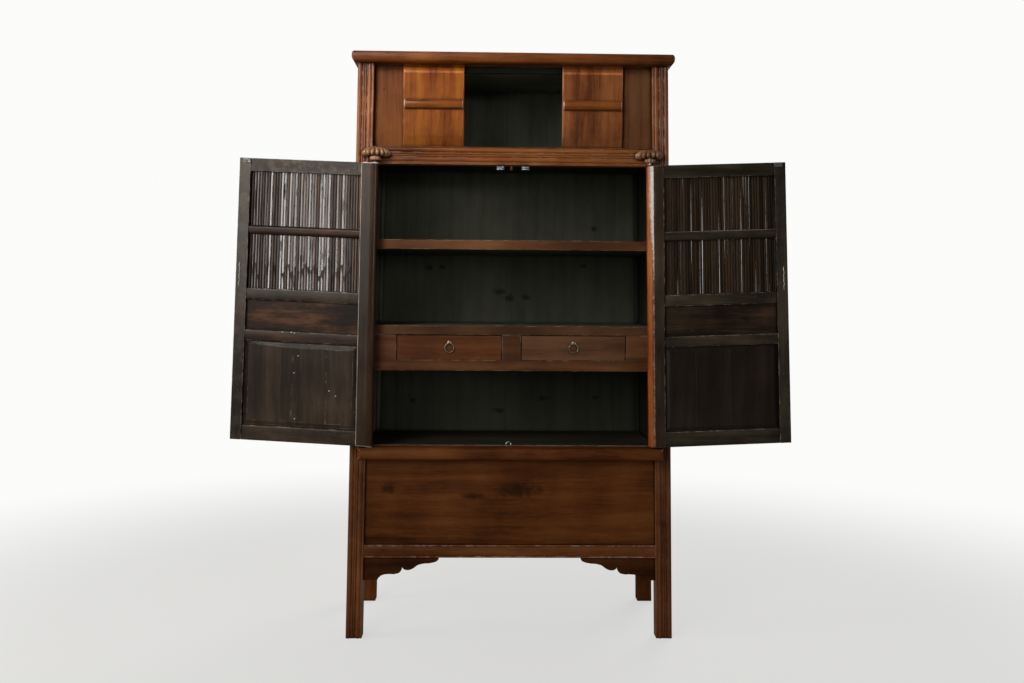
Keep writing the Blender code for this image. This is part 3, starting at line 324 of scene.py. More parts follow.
# The posts are brightened towards the top and their pale wear grows with height: painted light and sheen
# where more light falls.
POST_SHEEN_CLIMB = (0.5, 1.5)
aged_wood("red", RED, "across", 0.36, 0.12, 1.0)
aged_wood("red_edge", RED_EDGE, "across", 0.38, 0.1, 1.0, worn=0.35)
aged_wood(
    "post", stained(RED, 1.06), "up", 0.33, 0.16, 1.0, shine=0.34, painted_light=((1.15, 1.7, 1.32),), worn=0.09,
    sheen_climb=POST_SHEEN_CLIMB,
)
aged_wood("post_edge", RED_EDGE, "up", 0.34, 0.16, 1.0, worn=0.7, shine=0.34, sheen_climb=POST_SHEEN_CLIMB)
# The carved blocks take a lighter, yellower red than the carcass: painted light from above on the lobes.
aged_wood("block", BLOCK_RED, "up", 0.26, 0.6, 1.0, shine=0.4, hollow_shade=0.7)
aged_wood(
    "top_board", RED, "across", 0.36, 0.12, 1.0, other=((0, 0, -1), 0.5, 0.8, stained(INSIDE, 1.5)),
    behind=-0.19, hollow_shade=0.35,
)
# The track is stained almost black: painted shade, since it lies in the shadow at the top of the opening.
aged_wood("track", stained(INSIDE, 0.16), "across", 0.8, 0.0, 5.7, shine=0.05)
aged_wood("apron", LOW_RED, "across", 0.42, 0.05, 1.6, shine=0.15)
# The pale line along the sill's top is wear and a painted highlight.
SILL_RUB_AND_GLINT = (-0.204, -0.172, 0.5926, 0.9)
# The sill, the low rail and the spandrels take the red stained darker: painted shade that deepens towards
# the bottom, deepest on the set-back spandrels.
aged_wood("sill", stained(RED, 0.82), "across", 0.4, 0.06, 1.6, shine=0.18, rub_and_glint=SILL_RUB_AND_GLINT)
aged_wood("low_rail", stained(RED, 0.86), "across", 0.42, 0.05, 1.6, shine=0.15)
aged_wood(
    "low_rail_edge", stained(RED_EDGE, 1.3), "across", 0.4, 0.1, 1.6, worn=0.6, shine=0.2,
    pale=(0.62, 0.53, 0.44),
)
aged_wood("spandrel", stained(RED, 0.42), "across", 0.5, 0.0, 1.8, shine=0.12)
aged_wood("spandrel_edge", stained(RED, 0.9), "across", 0.5, 0.0, 1.8, worn=0.2, shine=0.12)
# Inside, the right side and rear post are stained far darker than the left: painted shade on the
# right-hand inside.
for side, way, level in (("left", -1.0, 0.85), ("right", 1.0, 0.23)):
    outer = ((way, 0, 0), 0.2, 0.6, RED)
    aged_wood("side_" + side, stained(INSIDE, level), "up", 0.6, 0.0, 1.3, other=outer, shine=0.12)
    aged_wood(
        "rear_post_" + side, stained(INSIDE, level), "up", 0.6, 0.0, 1.4, shine=0.12, below=0.3,
        other=((0.8 * way, 0.6, 0), 0.1, 0.4, stained(RED, 0.8)), beyond=(way, 0.4795, 1),
    )
ORANGE = {
    "left": shades((63, 14, 1.4), (131, 35.2, 3.4), (194, 63, 6.8)),
    "right": shades((56, 15, 4.4), (122, 38.8, 11), (184, 67, 21.5)),
}
FIXED = {
    "left": shades((86, 24.2, 5), (153, 45.5, 10), (205, 68, 16)),
    "right": shades((70, 25.5, 9), (125, 48.5, 18.2), (170, 72, 28.5)),
}
PANEL_PAINTED_LIGHT, EDGE_TOP_BAND = ((1.485, 1.52, 1.28), (1.51, 1.6, 1.34)), (1.66, 1.69)
# The sliding panels are brightened in their upper part, which is painted light. Their edge is brightened
# 1.9 times more in its top band, which is a painted highlight on the top arris.
for side, seed in (("left", 2.0), ("right", 2.3)):
    stain = ORANGE[side]
    aged_wood("sliding_" + side, stain, "up", 0.34, 0.06, seed, figure=1.15, shine=0.12, painted_light=PANEL_PAINTED_LIGHT)
    aged_wood(
        "slide_edge_" + side, stain, "up", 0.22, 0.5, seed, figure=1.15, shine=0.2, polished=EDGE_TOP_BAND,
        painted_light=(*PANEL_PAINTED_LIGHT, (*EDGE_TOP_BAND, 1.9)), hollow_shade=0.4,
    )
    aged_wood(
        "fixed_" + side, FIXED[side], "up", 0.5, 0.0, 3.0, figure=1.1, shine=0.1,
        knots=((-0.391, 1.674, 0.006, 0.009),),
    )
BATTEN = shades((90, 23, 3.5), (200, 55, 8.5), (310, 110, 22))
# The batten ends take a pale stain: light end grain together with a painted highlight.
BATTEN_END = shades((220, 110, 55), (420, 260, 150), (600, 430, 290))
aged_wood("batten", BATTEN, "across", 0.32, 0.15, 2.6, shine=0.18)
aged_wood("batten_end", BATTEN_END, "across", 0.25, 0.6, 2.6, worn=0.4, pale=(0.85, 0.76, 0.66))
FRONT = shades((46, 12.2, 2.8), (130, 38.5, 8.6), (209, 69, 16.8))
aged_wood(
    "front", FRONT, "across", 0.46, 0.0, 4.0, shine=0.1, figure=0.9,
    knots=((-0.373, 0.462, 0.03, 0.024), (0.031, 0.456, 0.095, 0.034), (-0.107, 0.4385, 0.055, 0.014)),
)
OUTER_BACK = shades((50, 30, 17), (105, 68, 40), (160, 115, 75))
# The back is brightened in steps up its height: painted light that evens out the lit and shaded bays.
aged_wood(
    "back", stained(INSIDE, 0.47), "up", 0.7, 0.0, 5.0, figure=0.52, shine=0.1, scuffs=0.05, hollow_shade=0.45,
    other=((0, 1, 0), 0.2, 0.6, OUTER_BACK),
    painted_light=((0.86, 0.96, 1.42), (1.19, 1.24, 1.16), (1.46, 1.52, 1.18)),
    knots=((-0.031, 1.07, 0.03, 0.016), (-0.004, 1.047, 0.026, 0.016), (0.058, 1.05, 0.022, 0.015),
           (-0.273, 1.15, 0.02, 0.014), (-0.229, 1.151, 0.018, 0.013), (0.255, 1.158, 0.018, 0.012),
           (0.289, 1.284, 0.015, 0.013), (-0.035, 0.66, 0.03, 0.013), (0.119, 0.702, 0.028, 0.014),
           (0.301, 0.706, 0.016, 0.012), (-0.329, 0.693, 0.018, 0.012)),
)
aged_wood("inside_floor", stained(INSIDE, 0.35), "across", 0.8, 0.0, 5.5, shine=0.05)
FLOOR_WOOD = shades((26, 22, 14), (47, 41, 27), (66, 59, 41))
aged_wood("main_floor", FLOOR_WOOD, "across", 0.8, 0.0, 5.5, shine=0.04, figure=0.7)
TO_ROOM = ((0, -1, 0), 0.3, 0.6)
SHELF = shades((66, 23, 7.8), (122, 45, 15), (180, 74, 29))
for name, stain in (("shelf", SHELF), ("case_top", tinted(SHELF, 0.76, 0.86, 1.0))):
    aged_wood(name, stained(INSIDE, 0.5), "across", 0.55, 0.0, 6.0, other=(*TO_ROOM, stain), shine=0.15)
aged_wood("shelf_edge", SHELF, "across", 0.42, 0.1, 6.0, worn=0.45, shine=0.25)
DRAWER_BOARD = shades((30, 16, 8), (60, 32, 16), (90, 52, 28))
# The right drawer front's greyer stain is a painted reflection of the window.
DRAWER_FRONT = {
    "left": shades((85, 24.5, 5.4), (146, 44.5, 10.8), (199, 67, 18.5)),
    "right": shades((70, 27.5, 11), (123, 51.5, 21.5), (167, 77, 35.5)),
}
for side, stain in DRAWER_FRONT.items():
    front = (*TO_ROOM, stain)
    aged_wood("drawer_" + side, DRAWER_BOARD, "across", 0.5, 0.0, 7.0, other=front, shine=0.17)
print("carcass woods:", len(woods))


# %% [markdown]
# The doors are blackened inside and red outside, so nearly all their woods carry both stains. The
# left door takes the window's light and shows its wear. The right one lies in its own shade.

# %% Stains of the doors
DOOR_IN = shades((18.5, 11, 6), (42.5, 25.5, 14.5), (81, 52, 31))
DOOR_EDGE = shades((24, 16, 10), (50, 36, 26), (110, 85, 66))
OUTWARD = ((0, 1, 0), 0.15, 0.45)
RED_OUT = (*OUTWARD, RED_EDGE)
SKIN_OUT = (*OUTWARD, (RED[0], (0.13, 0.037, 0.0085), (0.205, 0.068, 0.019)))
INNER = {"left": DOOR_IN, "right": tinted(DOOR_IN, 0.98, 1.2, 1.28)}
for side, worn, stile_worn in (("left", 0.12, 0.07), ("right", 0.0, 0.04)):
    # The rails' pale wear grows with height: real wear with painted sheen that is strongest on the top
    # rail.
    aged_wood(
        "rail_" + side, INNER[side], "across", 0.37, 0.12, 8.0, other=SKIN_OUT, scuffs=0.6 + 3 * worn,
        figure=1.2, shine=0.21, worn=worn, sheen_climb=(1.05, 1.42),
    )
    aged_wood(
        "meeting_" + side, INNER[side], "up", 0.36, 0.22, 8.2, other=SKIN_OUT, scuffs=0.8, figure=1.2,
        shine=0.3, worn=stile_worn,
    )
for grain in GRAIN:
    aged_wood(
        "door_edge_" + grain, DOOR_EDGE, grain, 0.42, 0.12, 8.0, other=RED_OUT, worn=0.8, shine=0.28,
        pale=(0.5, 0.43, 0.36),
    )
# The left door's field is stained twice as light as the right's: painted light on the lit door, painted
# shade on the shaded one.
for side, worn, level, figure in (("left", 0.35, 1.05, 1.1), ("right", 0.0, 0.5, 0.7)):
    aged_wood(
        "door_field_" + side, stained(DOOR_IN, level), "up", 0.44, 0.1, 8.8, other=SKIN_OUT,
        scuffs=0.6 * level, figure=figure, shine=0.21,
    )
    aged_wood(
        "field_edge_" + side, stained(DOOR_EDGE, 0.38 + 1.35 * worn), "up", 0.42, 0.1, 8.8,
        other=SKIN_OUT, worn=worn, shine=0.25,
    )
# The right nose takes a bright orange and the left a dark brown. They are lit and shaded copies of the
# same red: painted light and painted shade.
LIT_NOSE = shades((200, 38, 3.6), (410, 92, 9.5), (540, 155, 20))
SHADED_NOSE = shades((16, 6.1, 2), (35, 14.2, 4.7), (62, 26.2, 9.8))
for side, coat, chips_and_glint, other, beyond in (
    ("left", 0.14, 0.02, ((0.98, 0.2, 0), -0.2, 0.02, SHADED_NOSE), (-1, 0.452, -1)),
    ("right", 0.3, 1.0, ((-0.98, 0.2, 0), -0.17, 0.2, LIT_NOSE), None),
):
    aged_wood(
        "nose_" + side, DOOR_IN, "up", 0.36, coat, 8.5, chips_and_glint=chips_and_glint, shine=0.2, other=other, beyond=beyond
    )
BARE = shades((300, 245, 200), (560, 470, 400), (800, 710, 630))
aged_wood(
    "bare_edge", BARE, "up", 0.36, 0.3, 8.0, other=RED_OUT, worn=0.35, shine=0.35,
    pale=(0.7, 0.62, 0.55), hollow_shade=0.2,
)
SMALL_PANEL = {
    "left": shades((15, 7.4, 3.9), (43, 20.5, 10.5), (128, 53, 23)),
    "right": shades((17, 10, 5.6), (43, 26.2, 15), (90, 50, 28)),
}
for side, figure in (("left", 1.8), ("right", 1.4)):
    aged_wood(
        "small_" + side, SMALL_PANEL[side], "across", 0.4, 0.05, 9.0, other=SKIN_OUT, scuffs=0.5,
        figure=figure, shine=0.16,
    )
WARM = shades((19, 9.8, 5), (44, 22.5, 11.5), (98, 50, 25))
aged_wood(
    "warm_rail", WARM, "across", 0.37, 0.12, 8.3, other=SKIN_OUT, scuffs=0.9, figure=1.4, shine=0.21
)
BAR = shades((12, 5.2, 2.5), (32, 13.8, 6.6), (72, 30, 15))
# The right crossbar's pale stain on its upper rounded arris is a painted highlight.
BAR_SHINE = shades((100, 90, 78), (340, 310, 275), (500, 460, 410))
aged_wood(
    "crossbar_left", BAR, "across", 0.42, 0.06, 9.4, other=SKIN_OUT, scuffs=0.5, figure=1.5, shine=0.2
)
aged_wood(
    "crossbar_right", INNER["right"], "across", 0.37, 0.12, 8.0, figure=1.2, shine=0.21,
    other=((0, -0.35, 0.937), 0.945, 0.985, BAR_SHINE),
)
print("all woods:", ", ".join(sorted(woods)))


# %% [markdown]
# The metal is small but bright: aged brass rings on the drawers, pale clenched wire on the doors,
# and the plain steel of the magnet catches. Metal gets its character from uneven roughness
# and from tarnish that gathers in patches, so both come from noise at a millimetre scale.

# %% Metal
def aged_metal(name, clean, tarnish, rough, tarnished):
    metal = Finish(name)
    spot = metal.node("ShaderNodeTexCoord", output="Object")
    patches = metal.noise(spot, 240.0, 4.0, 0.65)
    fine = metal.noise(spot, 1500.0, 2.0)
    dull = patches.step(0.62 - tarnished, 0.78 - tarnished)
    metal.set(
        Base_Color=metal.blend(dull, clean, tarnish), Metallic=1 - 0.55 * dull,
        Roughness=rough + 0.25 * dull + 0.2 * (fine - 0.5),
    )
    metal.bump(0.6 * patches + 0.4 * fine, 0.25, 0.0003)
    return metal.material


brass = aged_metal("aged_brass", (0.4, 0.34, 0.22), (0.1, 0.095, 0.07), 0.36, 0.2)
wire_iron = aged_metal("wire_iron", (0.72, 0.69, 0.64), (0.3, 0.25, 0.2), 0.42, 0.14)
bright_steel = aged_metal("bright_steel", (0.62, 0.62, 0.6), (0.3, 0.29, 0.27), 0.4, 0.1)
dull_steel = aged_metal("dull_steel", (0.3, 0.3, 0.29), (0.16, 0.155, 0.15), 0.62, 0.2)
catch_case = aged_metal("catch_case", (0.035, 0.027, 0.02), (0.016, 0.012, 0.009), 0.6, 0.3)
print("metals ready")


# %% [markdown]
# Each packed board now gets its wood, and its hard arrises are eased as by a plane and a century of
# hands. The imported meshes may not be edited, so modifiers do it live: Weld joins the loose triangles,
# Decimate melts the flat ones together, Bevel rounds only true corners and gives them a second
# material, the rubbed-through lacquer, and Weighted Normal keeps the flats flat.

# %% Ease the edges and lay on the wood
def dress(name, wood, edge=None, ease=0.0012, corner=50.0):
    board = nodes[name]
    board.data.materials.clear()
    for finish in (wood, edge or wood):
        board.data.materials.append(woods[finish])
    weld = board.modifiers.new("join", "WELD")
    weld.merge_threshold = 0.00002
    flat = board.modifiers.new("flat", "DECIMATE")
    flat.decimate_type = "DISSOLVE"
    flat.angle_limit = math.radians(0.6)
    if ease:
        bevel = board.modifiers.new("ease", "BEVEL")
        bevel.width = ease
        bevel.segments = 2
        bevel.limit_method = "ANGLE"
        bevel.angle_limit = math.radians(corner)
        bevel.use_clamp_overlap = False
        bevel.material = 1
    even = board.modifiers.new("even", "WEIGHTED_NORMAL")
    even.keep_sharp = False


for side, stile_edge in (("left", "bare_edge"), ("right", "door_edge_up")):
    dress("post_front_" + side, "post", "post_edge", 0.0013)
    dress("post_rear_" + side, "rear_post_" + side, None, 0.001, 55.0)
    dress("side_panel_" + side, "side_" + side)
    dress("spandrel_" + side, "spandrel", "spandrel_edge", 0.001)
    dress("sliding_panel_" + side, "sliding_" + side, "slide_edge_" + side, 0.0034, 7.0)
    dress("fixed_panel_" + side, "fixed_" + side, None, 0.0012, 12.0)
    dress("drawer_" + side, "drawer_" + side, "shelf_edge", 0.0008)
    door = f"door_{side}_"
    dress(door + "hinge_stile", "nose_" + side, stile_edge, 0.0022, 55.0)
    dress(door + "meeting_stile", "meeting_" + side, "door_edge_up", 0.0014, 55.0)
    for rail in ("top_rail", "grille_rail", "panel_rail", "bottom_rail"):
        wood = "warm_rail" if (side, rail) == ("left", "panel_rail") else "rail_" + side
        dress(door + rail, wood, "door_edge_across", 0.0009, 40.0)
    dress(door + "small_panel", "small_" + side, None, 0.001)
    dress(door + "lower_panel", "door_field_" + side, "field_edge_" + side, 0.0008, 8.0)
for rail, wood in (("top_board", "top_board"), ("waist_rail", "red")):
    dress(rail, wood, "red_edge", 0.0012, 55.0)
for rail, wood in (("door_sill", "sill"), ("apron_rail", "apron"), ("rear_rail", "low_rail")):
    dress(rail, wood, "low_rail_edge", 0.0012, 40.0)
for panel, wood in (("front_lower_panel", "front"), ("back_panel", "back")):
    dress(panel, wood, None, 0.0)
for board, wood in (
    ("upper_floor", "inside_floor"), ("store_floor", "inside_floor"), ("main_floor", "main_floor"),
    ("top_track_rail", "track"),
):
    dress(board, wood, None, 0.001)
for board in ("middle_shelf", "drawer_case_floor", "drawer_case_top"):
    dress(board, "case_top" if board == "drawer_case_top" else "shelf", "shelf_edge", 0.0018)
print("dressed", sum(1 for node in nodes.values() if node.modifiers), "packed boards")


# %% [markdown]
# New pieces are modelled as by hand: add a primitive, pick faces or edges by where they are,
# and push them about in edit mode. A few helpers keep that short. One of them hangs a piece on its
# open door: doors are drawn shut and upright, so it leans with the post and swings on the pin.

# %% Bench tools
def clear_bench(piece=None):
    """Leave edit mode with nothing selected, or only one piece."""
    if bpy.context.mode != "OBJECT":
        bpy.ops.object.mode_set(mode="OBJECT")
    bpy.ops.object.select_all(action="DESELECT")
    if piece:
        piece.select_set(True)
        bpy.context.view_layer.objects.active = piece


def rough_out(add, stretch=(1, 1, 1), **options):
    """Add a primitive, stretch it, and put its place and size into its mesh."""
    clear_bench()
    add(**options)
    piece = bpy.context.object
    piece.scale = stretch
    bpy.ops.object.transform_apply(location=True, rotation=True, scale=True)
    return piece


def block(size, spot):
    return rough_out(bpy.ops.mesh.primitive_cube_add, size, size=1, location=spot)


def rod(sides, radius, length, **options):
    return rough_out(
        bpy.ops.mesh.primitive_cylinder_add, vertices=sides, radius=radius, depth=length, **options
    )


def pick(piece, kind, test):
    """Go into edit mode with only the wanted corners, edges or faces selected."""
    clear_bench(piece)
    bpy.ops.object.mode_set(mode="EDIT")
    bpy.ops.mesh.select_mode(type=kind)
    bpy.ops.mesh.select_all(action="DESELECT")
    bpy.ops.object.mode_set(mode="OBJECT")
    mesh = piece.data
    wanted = {"VERT": mesh.vertices, "EDGE": mesh.edges, "FACE": mesh.polygons}[kind]
    for part in wanted:
        ends = [part.co] if kind == "VERT" else [mesh.vertices[i].co for i in part.vertices]
        part.select = bool(test(*ends))
    bpy.ops.object.mode_set(mode="EDIT")


def pick_facing(piece, *way):
    """Pick the faces that look one way."""
    pick(piece, "FACE", lambda *ends: normal(ends).dot(way) > 0.9)


def sink(piece, way, *steps):
    """Inset the faces that look one way, by pairs of rim and height."""
    pick_facing(piece, *way)
    for rim, height in steps:
        bpy.ops.mesh.inset(thickness=rim, depth=height)


def round_edges(piece, wide, steps, test):
    pick(piece, "EDGE", test)
    bpy.ops.mesh.bevel(offset=wide, segments=steps)


def squeeze(piece, scale, centre, test):
    """Scale the corners that a test picks."""
    pick(piece, "VERT", test)
    bpy.ops.transform.resize(value=scale, center_override=centre)


def cut(piece, spot, facing=(0, 0, 1), **keep):
    """Saw right through a piece."""
    pick(piece, "FACE", lambda *ends: True)
    bpy.ops.mesh.bisect(plane_co=spot, plane_no=facing, **keep)


def settle(piece, name, finish):
    """Put the piece's place in its mesh, square up its normals and give it its finish."""
    clear_bench(piece)
    bpy.ops.object.transform_apply(location=True, rotation=True, scale=True)
    bpy.ops.object.mode_set(mode="EDIT")
    bpy.ops.mesh.select_all(action="SELECT")
    bpy.ops.mesh.remove_doubles(threshold=0.000005)
    bpy.ops.mesh.normals_make_consistent(inside=False)
    bpy.ops.object.mode_set(mode="OBJECT")
    piece.name = piece.data.name = name
    piece.data.materials.clear()
    piece.data.materials.append(finish)
    return piece


def gather(pieces, name):
    """Join several finished pieces into one object."""
    joined = pieces[0]
    clear_bench(joined)
    for piece in pieces:
        piece.select_set(True)
    bpy.ops.object.join()
    joined.name = joined.data.name = name
    return joined


def soften(piece, degrees):
    clear_bench(piece)
    bpy.ops.object.shade_smooth_by_angle(angle=math.radians(degrees))


def tell(piece):
    print(piece.name, len(piece.data.polygons), "faces")


SIGN = {"left": -1, "right": 1}
OPEN = {"left": 185.5, "right": 181.5}
DOOR_AXIS, DOOR_PROUD, DOOR_BOTTOM, DOOR_TOP = 0.441, 0.024, 0.5956, 1.445
DOOR_FACE, DOOR_BACK = -0.0393, -0.0087  # outer and inner side of the shut door
MEET_EDGE, STILE_EDGE = 0.0384, 0.402


def hang(piece, side, lean=None):
    """Move a piece drawn on the shut, upright door to the open door."""
    sign = SIGN[side]
    foot = Vector((sign * (DOOR_AXIS - SPLAY * DOOR_BOTTOM), -DOOR_PROUD, DOOR_BOTTOM))
    shut = Matrix.Translation(foot) @ Matrix.Rotation(-sign * math.atan(SPLAY), 4, "Y")
    swung = shut @ Matrix.Rotation(sign * math.radians(OPEN[side]), 4, "Z") @ shut.inverted()
    if lean:
        for corner in piece.data.vertices:
            corner.co.x -= sign * SPLAY * corner.co.z * lean(abs(corner.co.x))
    piece.data.transform(Matrix.Translation(SHIFT) @ swung)
    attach(piece, "door_" + side)


def fan(distance):
    """Rods stand upright at the meeting stile and lean with the post at the hinge."""
    return min(1.0, max(0.0, (distance - MEET_EDGE) / (STILE_EDGE - MEET_EDGE)))


print("bench tools ready")


# %% [markdown]
# The upper third of each door is a grille of split bamboo, for air. A split cane isn't a plain rod:
# it is round outside, a little flat inside, swells at each joint, and no two are equally wide or true.
# One cane is cut from a cylinder, bisected three times at every joint so that a tight ridge can be
# scaled up there, and its inner side is pressed flatter. Its copies are turned over, thinned, bowed
# and twisted. Each stores its own tone and how much of its polished skin is left, which is mostly why
# neighbours catch the window so unequally.

# %% Bamboo finish
def cane_finish(name, rough, polish, mirror, stain):
    cane = Finish(name)
    tone, skin = (
        cane.node("ShaderNodeAttribute", {"attribute_name": stored}, None, "Fac")
        for stored in ("cane_tone", "cane_skin")
    )
    apart = cane.node("ShaderNodeCombineXYZ", {}, {"X": 9.1 * tone, "Y": 5.3 * skin, "Z": 7.7 * tone})
    spot = cane.vector("ADD", cane.node("ShaderNodeTexCoord", output="Object"), apart)
    along = cane.vector("MULTIPLY", spot, (1.0, 1.0, 0.03))
    streaks = cane.noise(along, 700.0, 4.0, 0.6)
    patches = cane.noise(cane.vector("MULTIPLY", spot, (2.6, 1.0, 0.55)), 22.0, 4.0, 0.65)
    figure = 0.25 + 0.5 * tone + 0.55 * (streaks - 0.5) + 0.6 * (patches - 0.5)
    stops = list(zip((0.25, 0.5, 0.8), stain))
    colour = cane.node("ShaderNodeValToRGB", {"stops": stops}, {"Fac": figure})
    rubbed = cane.noise(along, 260.0, 5.0, 0.7).step(0.56, 0.68) * patches.step(0.4, 0.6)
    shown = (0.08 + 0.92 * skin.step(0.05, 0.95)) * patches.step(0.3, 0.46)
    cane.set(
        Base_Color=cane.blend(0.3 * rubbed, colour, (0.2, 0.15, 0.12)),
        Roughness=rough + 0.18 * streaks + 0.8 * (patches - 0.5) + 0.25 * (1 - skin),
        Coat_Weight=polish * shown, Coat_Roughness=0.04, Coat_IOR=3.4, Specular_IOR_Level=mirror,
    )
    cane.bump(streaks, 0.12, 0.0006)
    return cane.material


WARM_CANE = shades((12, 5.7, 2.9), (37, 16.8, 8.2), (100, 45.5, 22.5))
DULL_CANE = shades((19, 11, 6), (44, 27, 15.2), (76, 46, 27))
bamboo = {
    "left": cane_finish("polished_bamboo", 0.2, 1.0, 0.28, WARM_CANE),
    "right": cane_finish("dull_bamboo", 0.46, 0.0, 0.12, DULL_CANE),
}
print("bamboo:", bamboo["left"].name, bamboo["right"].name)

# %% Canes
CANES = 40
CANE, CANE_LOW, CANE_HIGH = 0.1834 / CANES, 1.049, 1.415
JOINTS, RIDGE, RIDGE_SIDES = (1.128, 1.322), 1.07, (-0.0045, 0.0, 0.0035)
BENDS = (1.09, 1.18, 1.225, 1.27, 1.37)  # where a cane can bow
cane = rod(12, CANE, CANE_HIGH - CANE_LOW, location=(0, 0, (CANE_HIGH + CANE_LOW) / 2))
for joint in JOINTS:
    for rise in RIDGE_SIDES:
        cut(cane, (0, 0, joint + rise))
for joint in JOINTS:
    squeeze(cane, (RIDGE, RIDGE, 1.0), (0, 0, joint), lambda end: abs(end.z - joint) < 0.0005)
for height in BENDS:
    cut(cane, (0, 0, height))
squeeze(cane, (1.0, 0.92, 1.0), (0, 0, 0), lambda end: end.y > 0.69 * CANE)
squeeze(cane, (1.0, 0.96, 1.0), (0, 0, 0), lambda end: end.y > 0.15 * CANE and abs(end.x) > 0.61 * CANE)
cane = settle(cane, "cane_pattern", bamboo["left"])
soften(cane, 35)
print("one cane:", len(cane.data.polygons), "faces")


# %% Lay the canes in both doors
LOOSE = {"left": 0.24, "right": 0.46}  # the share of thin canes, which leave gaps
TAPER = {"left": (0.03, 0.1), "right": (0.06, 0.16)}
BOW, STRAY = 0.0004, 0.0002
CANE_SET = -DOOR_PROUD - 0.002
FIXED_ENDS = 0.02  # the ends stay in line while the joints slide up or down


def share_up(z):
    return (z - CANE_LOW) / (CANE_HIGH - CANE_LOW)


def store(piece, name, value):
    """Keep one value on all corners of a piece."""
    values = piece.data.attributes.new(name, "FLOAT", "POINT")
    values.data.foreach_set("value", [value] * len(piece.data.vertices))


pitch = (STILE_EDGE - MEET_EDGE) / CANES
for side, sign in SIGN.items():
    dice = random.Random("canes " + side)
    laid = []
    for index in range(CANES):
        one = cane.copy()
        one.data = cane.data.copy()
        bpy.context.scene.collection.objects.link(one)
        loose = dice.random() < LOOSE[side] * (1.4 - 0.8 * index / CANES)
        slim = dice.uniform(*TAPER[side]) if loose else dice.uniform(0.0, 0.012)
        twist = dice.uniform(-0.3, 0.3)
        wind = dice.uniform(-0.2, 0.2)
        middle = sign * (MEET_EDGE + pitch * (index + 0.5) + dice.uniform(-STRAY, STRAY))
        flip = dice.random() < 0.5
        slide = dice.uniform(-0.05, 0.05)
        bow = dice.uniform(-BOW, BOW)
        for corner in one.data.vertices:
            x, y, z = corner.co
            if CANE_LOW + FIXED_ENDS < z < CANE_HIGH - FIXED_ENDS:
                z += slide * math.sin(math.pi * share_up(z))
            thick = 1.0 - slim * share_up(z)
            if flip:
                z = CANE_LOW + CANE_HIGH - z
            swell = math.sin(math.pi * share_up(z))
            turn = math.sin(twist + wind * share_up(z))
            x, y = x - y * turn, y + x * turn
            corner.co = (middle + thick * x + bow * swell, CANE_SET + thick * y, z)
        # The first canes by the meeting stile get a lower tone: painted shadow of the stile.
        store(one, "cane_tone", dice.random() * min(1.0, 0.2 + index / 4))
        store(one, "cane_skin", dice.random() * min(1.0, index / 3) * (1.4 - 0.85 * index / CANES))
        if flip:
            one.data.flip_normals()
        laid.append(one)
    canes = gather(laid, "bamboo_" + side)
    canes.data.materials[0] = bamboo[side]
    hang(canes, side, fan)
    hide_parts(f"door_{side}_grille")
    tell(canes)
bpy.data.objects.remove(cane, do_unlink=True)


# %% [markdown]
# One moulded bar ties the canes together across the middle. It starts as a block of the right size,
# and the two long arrises that face into the room are bevelled round, which is how a maker would run
# it with a hollow plane.

# %% Crossbars
BAR_TOP, BAR_HIGH, BAR_FRONT, BAR_THICK = 1.246, 0.028, -0.0228, 0.0125
BAR_LONG = STILE_EDGE - MEET_EDGE + 0.016
for side, sign in SIGN.items():
    middle = (sign * (STILE_EDGE + MEET_EDGE) / 2, BAR_FRONT + BAR_THICK / 2, BAR_TOP - BAR_HIGH / 2)
    bar = block((BAR_LONG, BAR_THICK, BAR_HIGH), middle)
    round_edges(bar, 0.0095, 6, lambda a, b: min(a.y, b.y) > middle[1] and abs(a.x - b.x) > 0.1)
    bar = settle(bar, "crossbar_" + side, woods["crossbar_" + side])
    soften(bar, 40)
    hang(bar, side, fan)
    tell(bar)


# %% [markdown]
# A carved block over each door holds the upper pivot pin. It is a half flower: eight swelling
# lobes that spring from the back and roll over the rim, with a turned collar below. A lobe is a sphere
# drawn out to an egg and pinched towards the back, and eight of them go round the half circle.

# %% Pivot blocks
BLOCK_Z, PIN_TOP, LOBES = 1.461, 1.47, 8
LOBE_LONG, LOBE_WIDE, LOBE_HIGH = 0.0235, 0.0104, 0.015  # halves
LOBE_OUT, LOBE_RISE, LOBE_ROLL = 0.0213, 0.0152, 0.0135
COLLAR_R, COLLAR_HIGH, COLLAR_DROP = 0.017, 0.0105, 0.0075
for side, sign in SIGN.items():
    axis = Vector((sign * (DOOR_AXIS - SPLAY * PIN_TOP), -0.0003, BLOCK_Z))
    lobes = []
    for index in range(LOBES):
        lobe = rough_out(
            bpy.ops.mesh.primitive_uv_sphere_add, (LOBE_LONG, LOBE_WIDE, LOBE_HIGH), segments=16,
            ring_count=12, radius=1.0,
        )
        turn = math.pi * (index + 0.5) / LOBES
        for corner in lobe.data.vertices:
            x, y, z = corner.co
            share = (x + LOBE_LONG) / (2 * LOBE_LONG)
            y *= 0.34 + 0.66 * share
            z = z * (0.75 + 0.25 * share) + LOBE_ROLL * (1 - share) ** 1.3
            reach = LOBE_OUT + x
            corner.co = (
                axis.x + reach * math.cos(turn) - y * math.sin(turn),
                axis.y - reach * math.sin(turn) - y * math.cos(turn),
                axis.z + LOBE_RISE + z,
            )
        cut(lobe, (0, axis.y, 0), (0, 1, 0), use_fill=True, clear_outer=True)
        lobes.append(settle(lobe, f"lobe_{side}_{index}", woods["block"]))
    low = (axis.x, -DOOR_PROUD, BLOCK_Z - COLLAR_DROP + COLLAR_HIGH / 2)
    collar = rod(40, COLLAR_R, COLLAR_HIGH, location=low)
    pick_facing(collar, 0, 0, -1)
    bpy.ops.mesh.bevel(offset=0.0028, segments=4, profile=0.6)
    lobes.append(settle(collar, "collar_" + side, woods["block"]))
    flower = gather(lobes, "carved_block_" + side)
    flower.data.transform(Matrix.Translation(SHIFT))
    soften(flower, 60)
    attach(flower, "cupboard")
    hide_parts("pivot_block_" + side)
    tell(flower)


